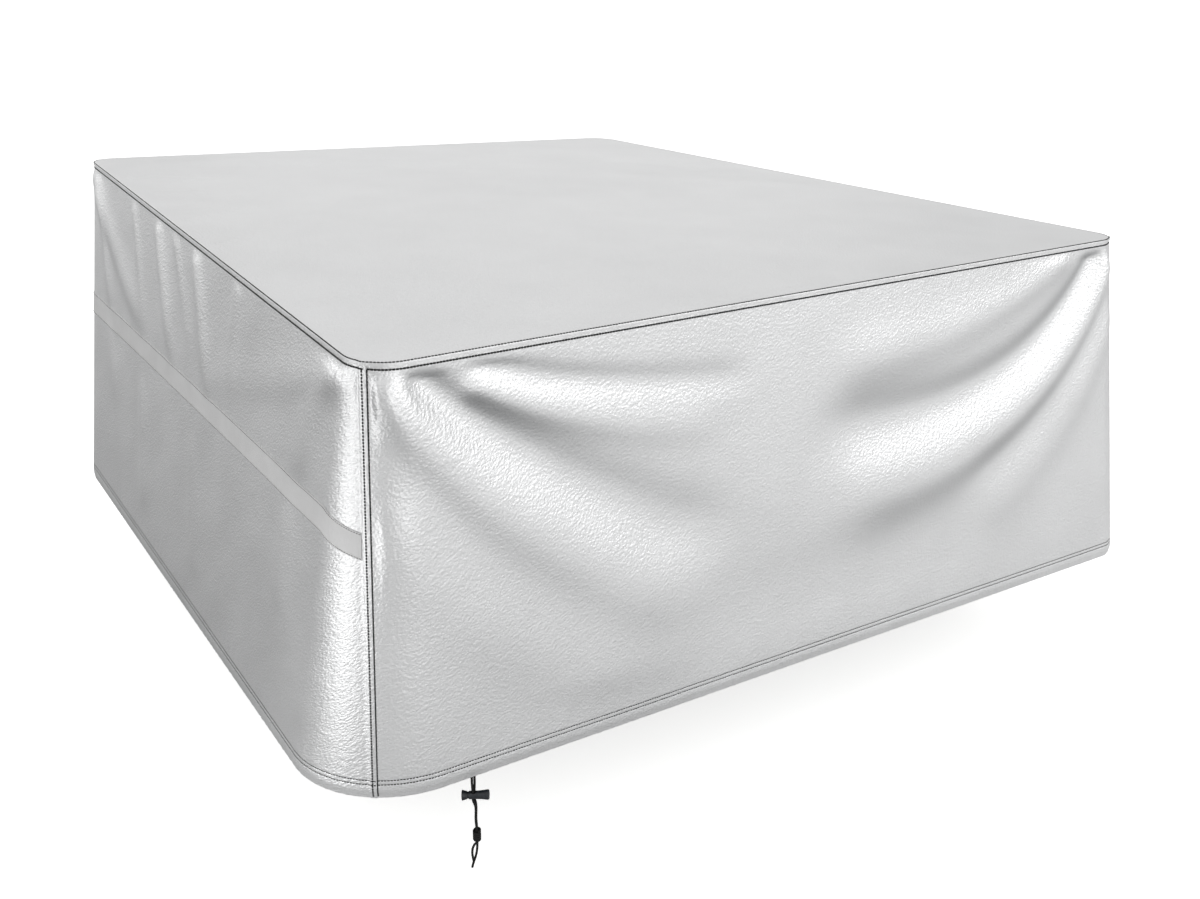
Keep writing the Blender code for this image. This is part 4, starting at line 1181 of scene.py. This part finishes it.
def build_floor():
    """A pale floor. What the cloth mirrors of it is darker than what the camera sees: painted shade in the
    cloth's reflections, darker towards the back left.
    """
    looks = Looks("pale_floor", Roughness=0.9)
    place = looks.add("TexCoord").outputs["Object"]
    cloudy = looks.noise(place, 0.8, 2.0, 0.5)
    looks.wire(looks.blend(cloudy, grey(0.86), grey(0.88)), "Base Color")
    looks.shader.inputs["Emission Color"].default_value = SEEN_WHITE
    looks.shader.inputs["Emission Strength"].default_value = FLOOR_GLOW
    # Painted shade: for mirrored rays the floor is a darker grey, graded darker towards the back left.
    along = looks.add("VectorMath", {"operation": "DOT_PRODUCT"}, i0=place, i1=FLOOR_GRADED_ALONG)
    shade = looks.remap(along.outputs["Value"], *FLOOR_MIRRORED_BETWEEN, *FLOOR_MIRRORED)
    looks.camera_sees(looks.shader, looks.add("BsdfDiffuse", None, Color=shade), "Material Output")
    signs = ((-1, -1), (1, -1), (1, 1), (-1, 1))
    points = [(x * FLOOR_HALF, y * FLOOR_HALF, FLOOR_LEVEL) for x, y in signs]
    add_mesh("studio_floor", points, [(0, 1, 2, 3)], looks.material)


# The surround's light by the height of the direction, from the horizon to straight up.
SURROUND = ((0.0, 0.39), (0.10, 0.48), (0.32, 0.82), (1.0, 0.87))


def build_world():
    """A studio's soft surround: pale near the horizon and brighter overhead."""
    world = bpy.data.worlds.new("studio_surround")
    bpy.context.scene.world = world
    world.use_nodes = True
    nodes = Nodes(world.node_tree)
    direction = nodes.add("TexCoord").outputs["Generated"]
    height = nodes.add("SeparateXYZ", None, Vector=direction).outputs[2]
    ramp = nodes.add("ValToRGB", None, Fac=height)
    stops = ramp.color_ramp.elements
    for place, _ in SURROUND[1:-1]:
        stops.new(place)
    for stop, (place, light) in zip(stops, SURROUND):
        stop.position, stop.color = place, grey(light)
    mirrored = nodes.tree.nodes["Background"]
    nodes.tree.links.new(ramp.outputs[0], mirrored.inputs[0])
    mirrored.inputs[1].default_value = 1.0
    nodes.camera_sees(nodes.add("Background", None, i0=SEEN_WHITE, i1=1.0), mirrored, "World Output")


LIGHT_FIELDS = ("name", "place", "target", "width", "height", "brightness")
LIGHTS = (
    ("front_softbox", (2.4, -4.6, 1.8), (0.1, -0.9, -0.4), 5.0, 1.5, 2.3),
    ("front_low_softbox", (2.4, -4.7, 0.0), (0.1, -0.9, -0.4), 5.0, 1.5, 0.44),
    ("left_softbox", (-3.2, -0.20, -0.25), (-0.87, -0.9, -0.3), 0.9, 1.2, 2.2),
    ("left_back_softbox", (-4.5, 1.8, 0.7), (-0.87, 0.0, -0.3), 1.3, 1.8, 1.2),
    ("corner_low_softbox", (-1.45, -0.90, -0.60), (-0.85, -0.90, -0.45), 0.40, 0.58, 1.5),
    ("corner_softbox", (-1.1, -3.4, -0.2), (-0.85, -0.9, -0.4), 0.9, 1.3, 1.6),
    ("back_softbox", (-2.6, 4.4, 2.2), (-0.85, 0.0, -0.3), 3.0, 1.4, 2.4),
    ("back_right_softbox", (2.6, 4.4, 1.9), (0.0, 0.2, 0.0), 4.5, 1.2, 0.45),
    ("back_low_softbox", (-3.4, 4.6, 0.0), (-0.85, 0.0, -0.4), 3.4, 1.5, 0.40),
)


def build_lights():
    for row in rows_of(LIGHT_FIELDS, LIGHTS):
        data = bpy.data.lights.new(row["name"], "AREA")
        data.shape = "RECTANGLE"
        data.size = row["width"]
        data.size_y = row["height"]
        data.energy = row["brightness"] * math.pi * row["width"] * row["height"]
        light = bpy.data.objects.new(row["name"], data)
        bpy.context.scene.collection.objects.link(light)
        light.location = row["place"]
        way = Vector(row["target"]) - Vector(row["place"])
        light.rotation_euler = way.to_track_quat("-Z", "Y").to_euler()


build_floor()
build_world()
build_lights()
bpy.context.scene.view_settings.view_transform = "Standard"
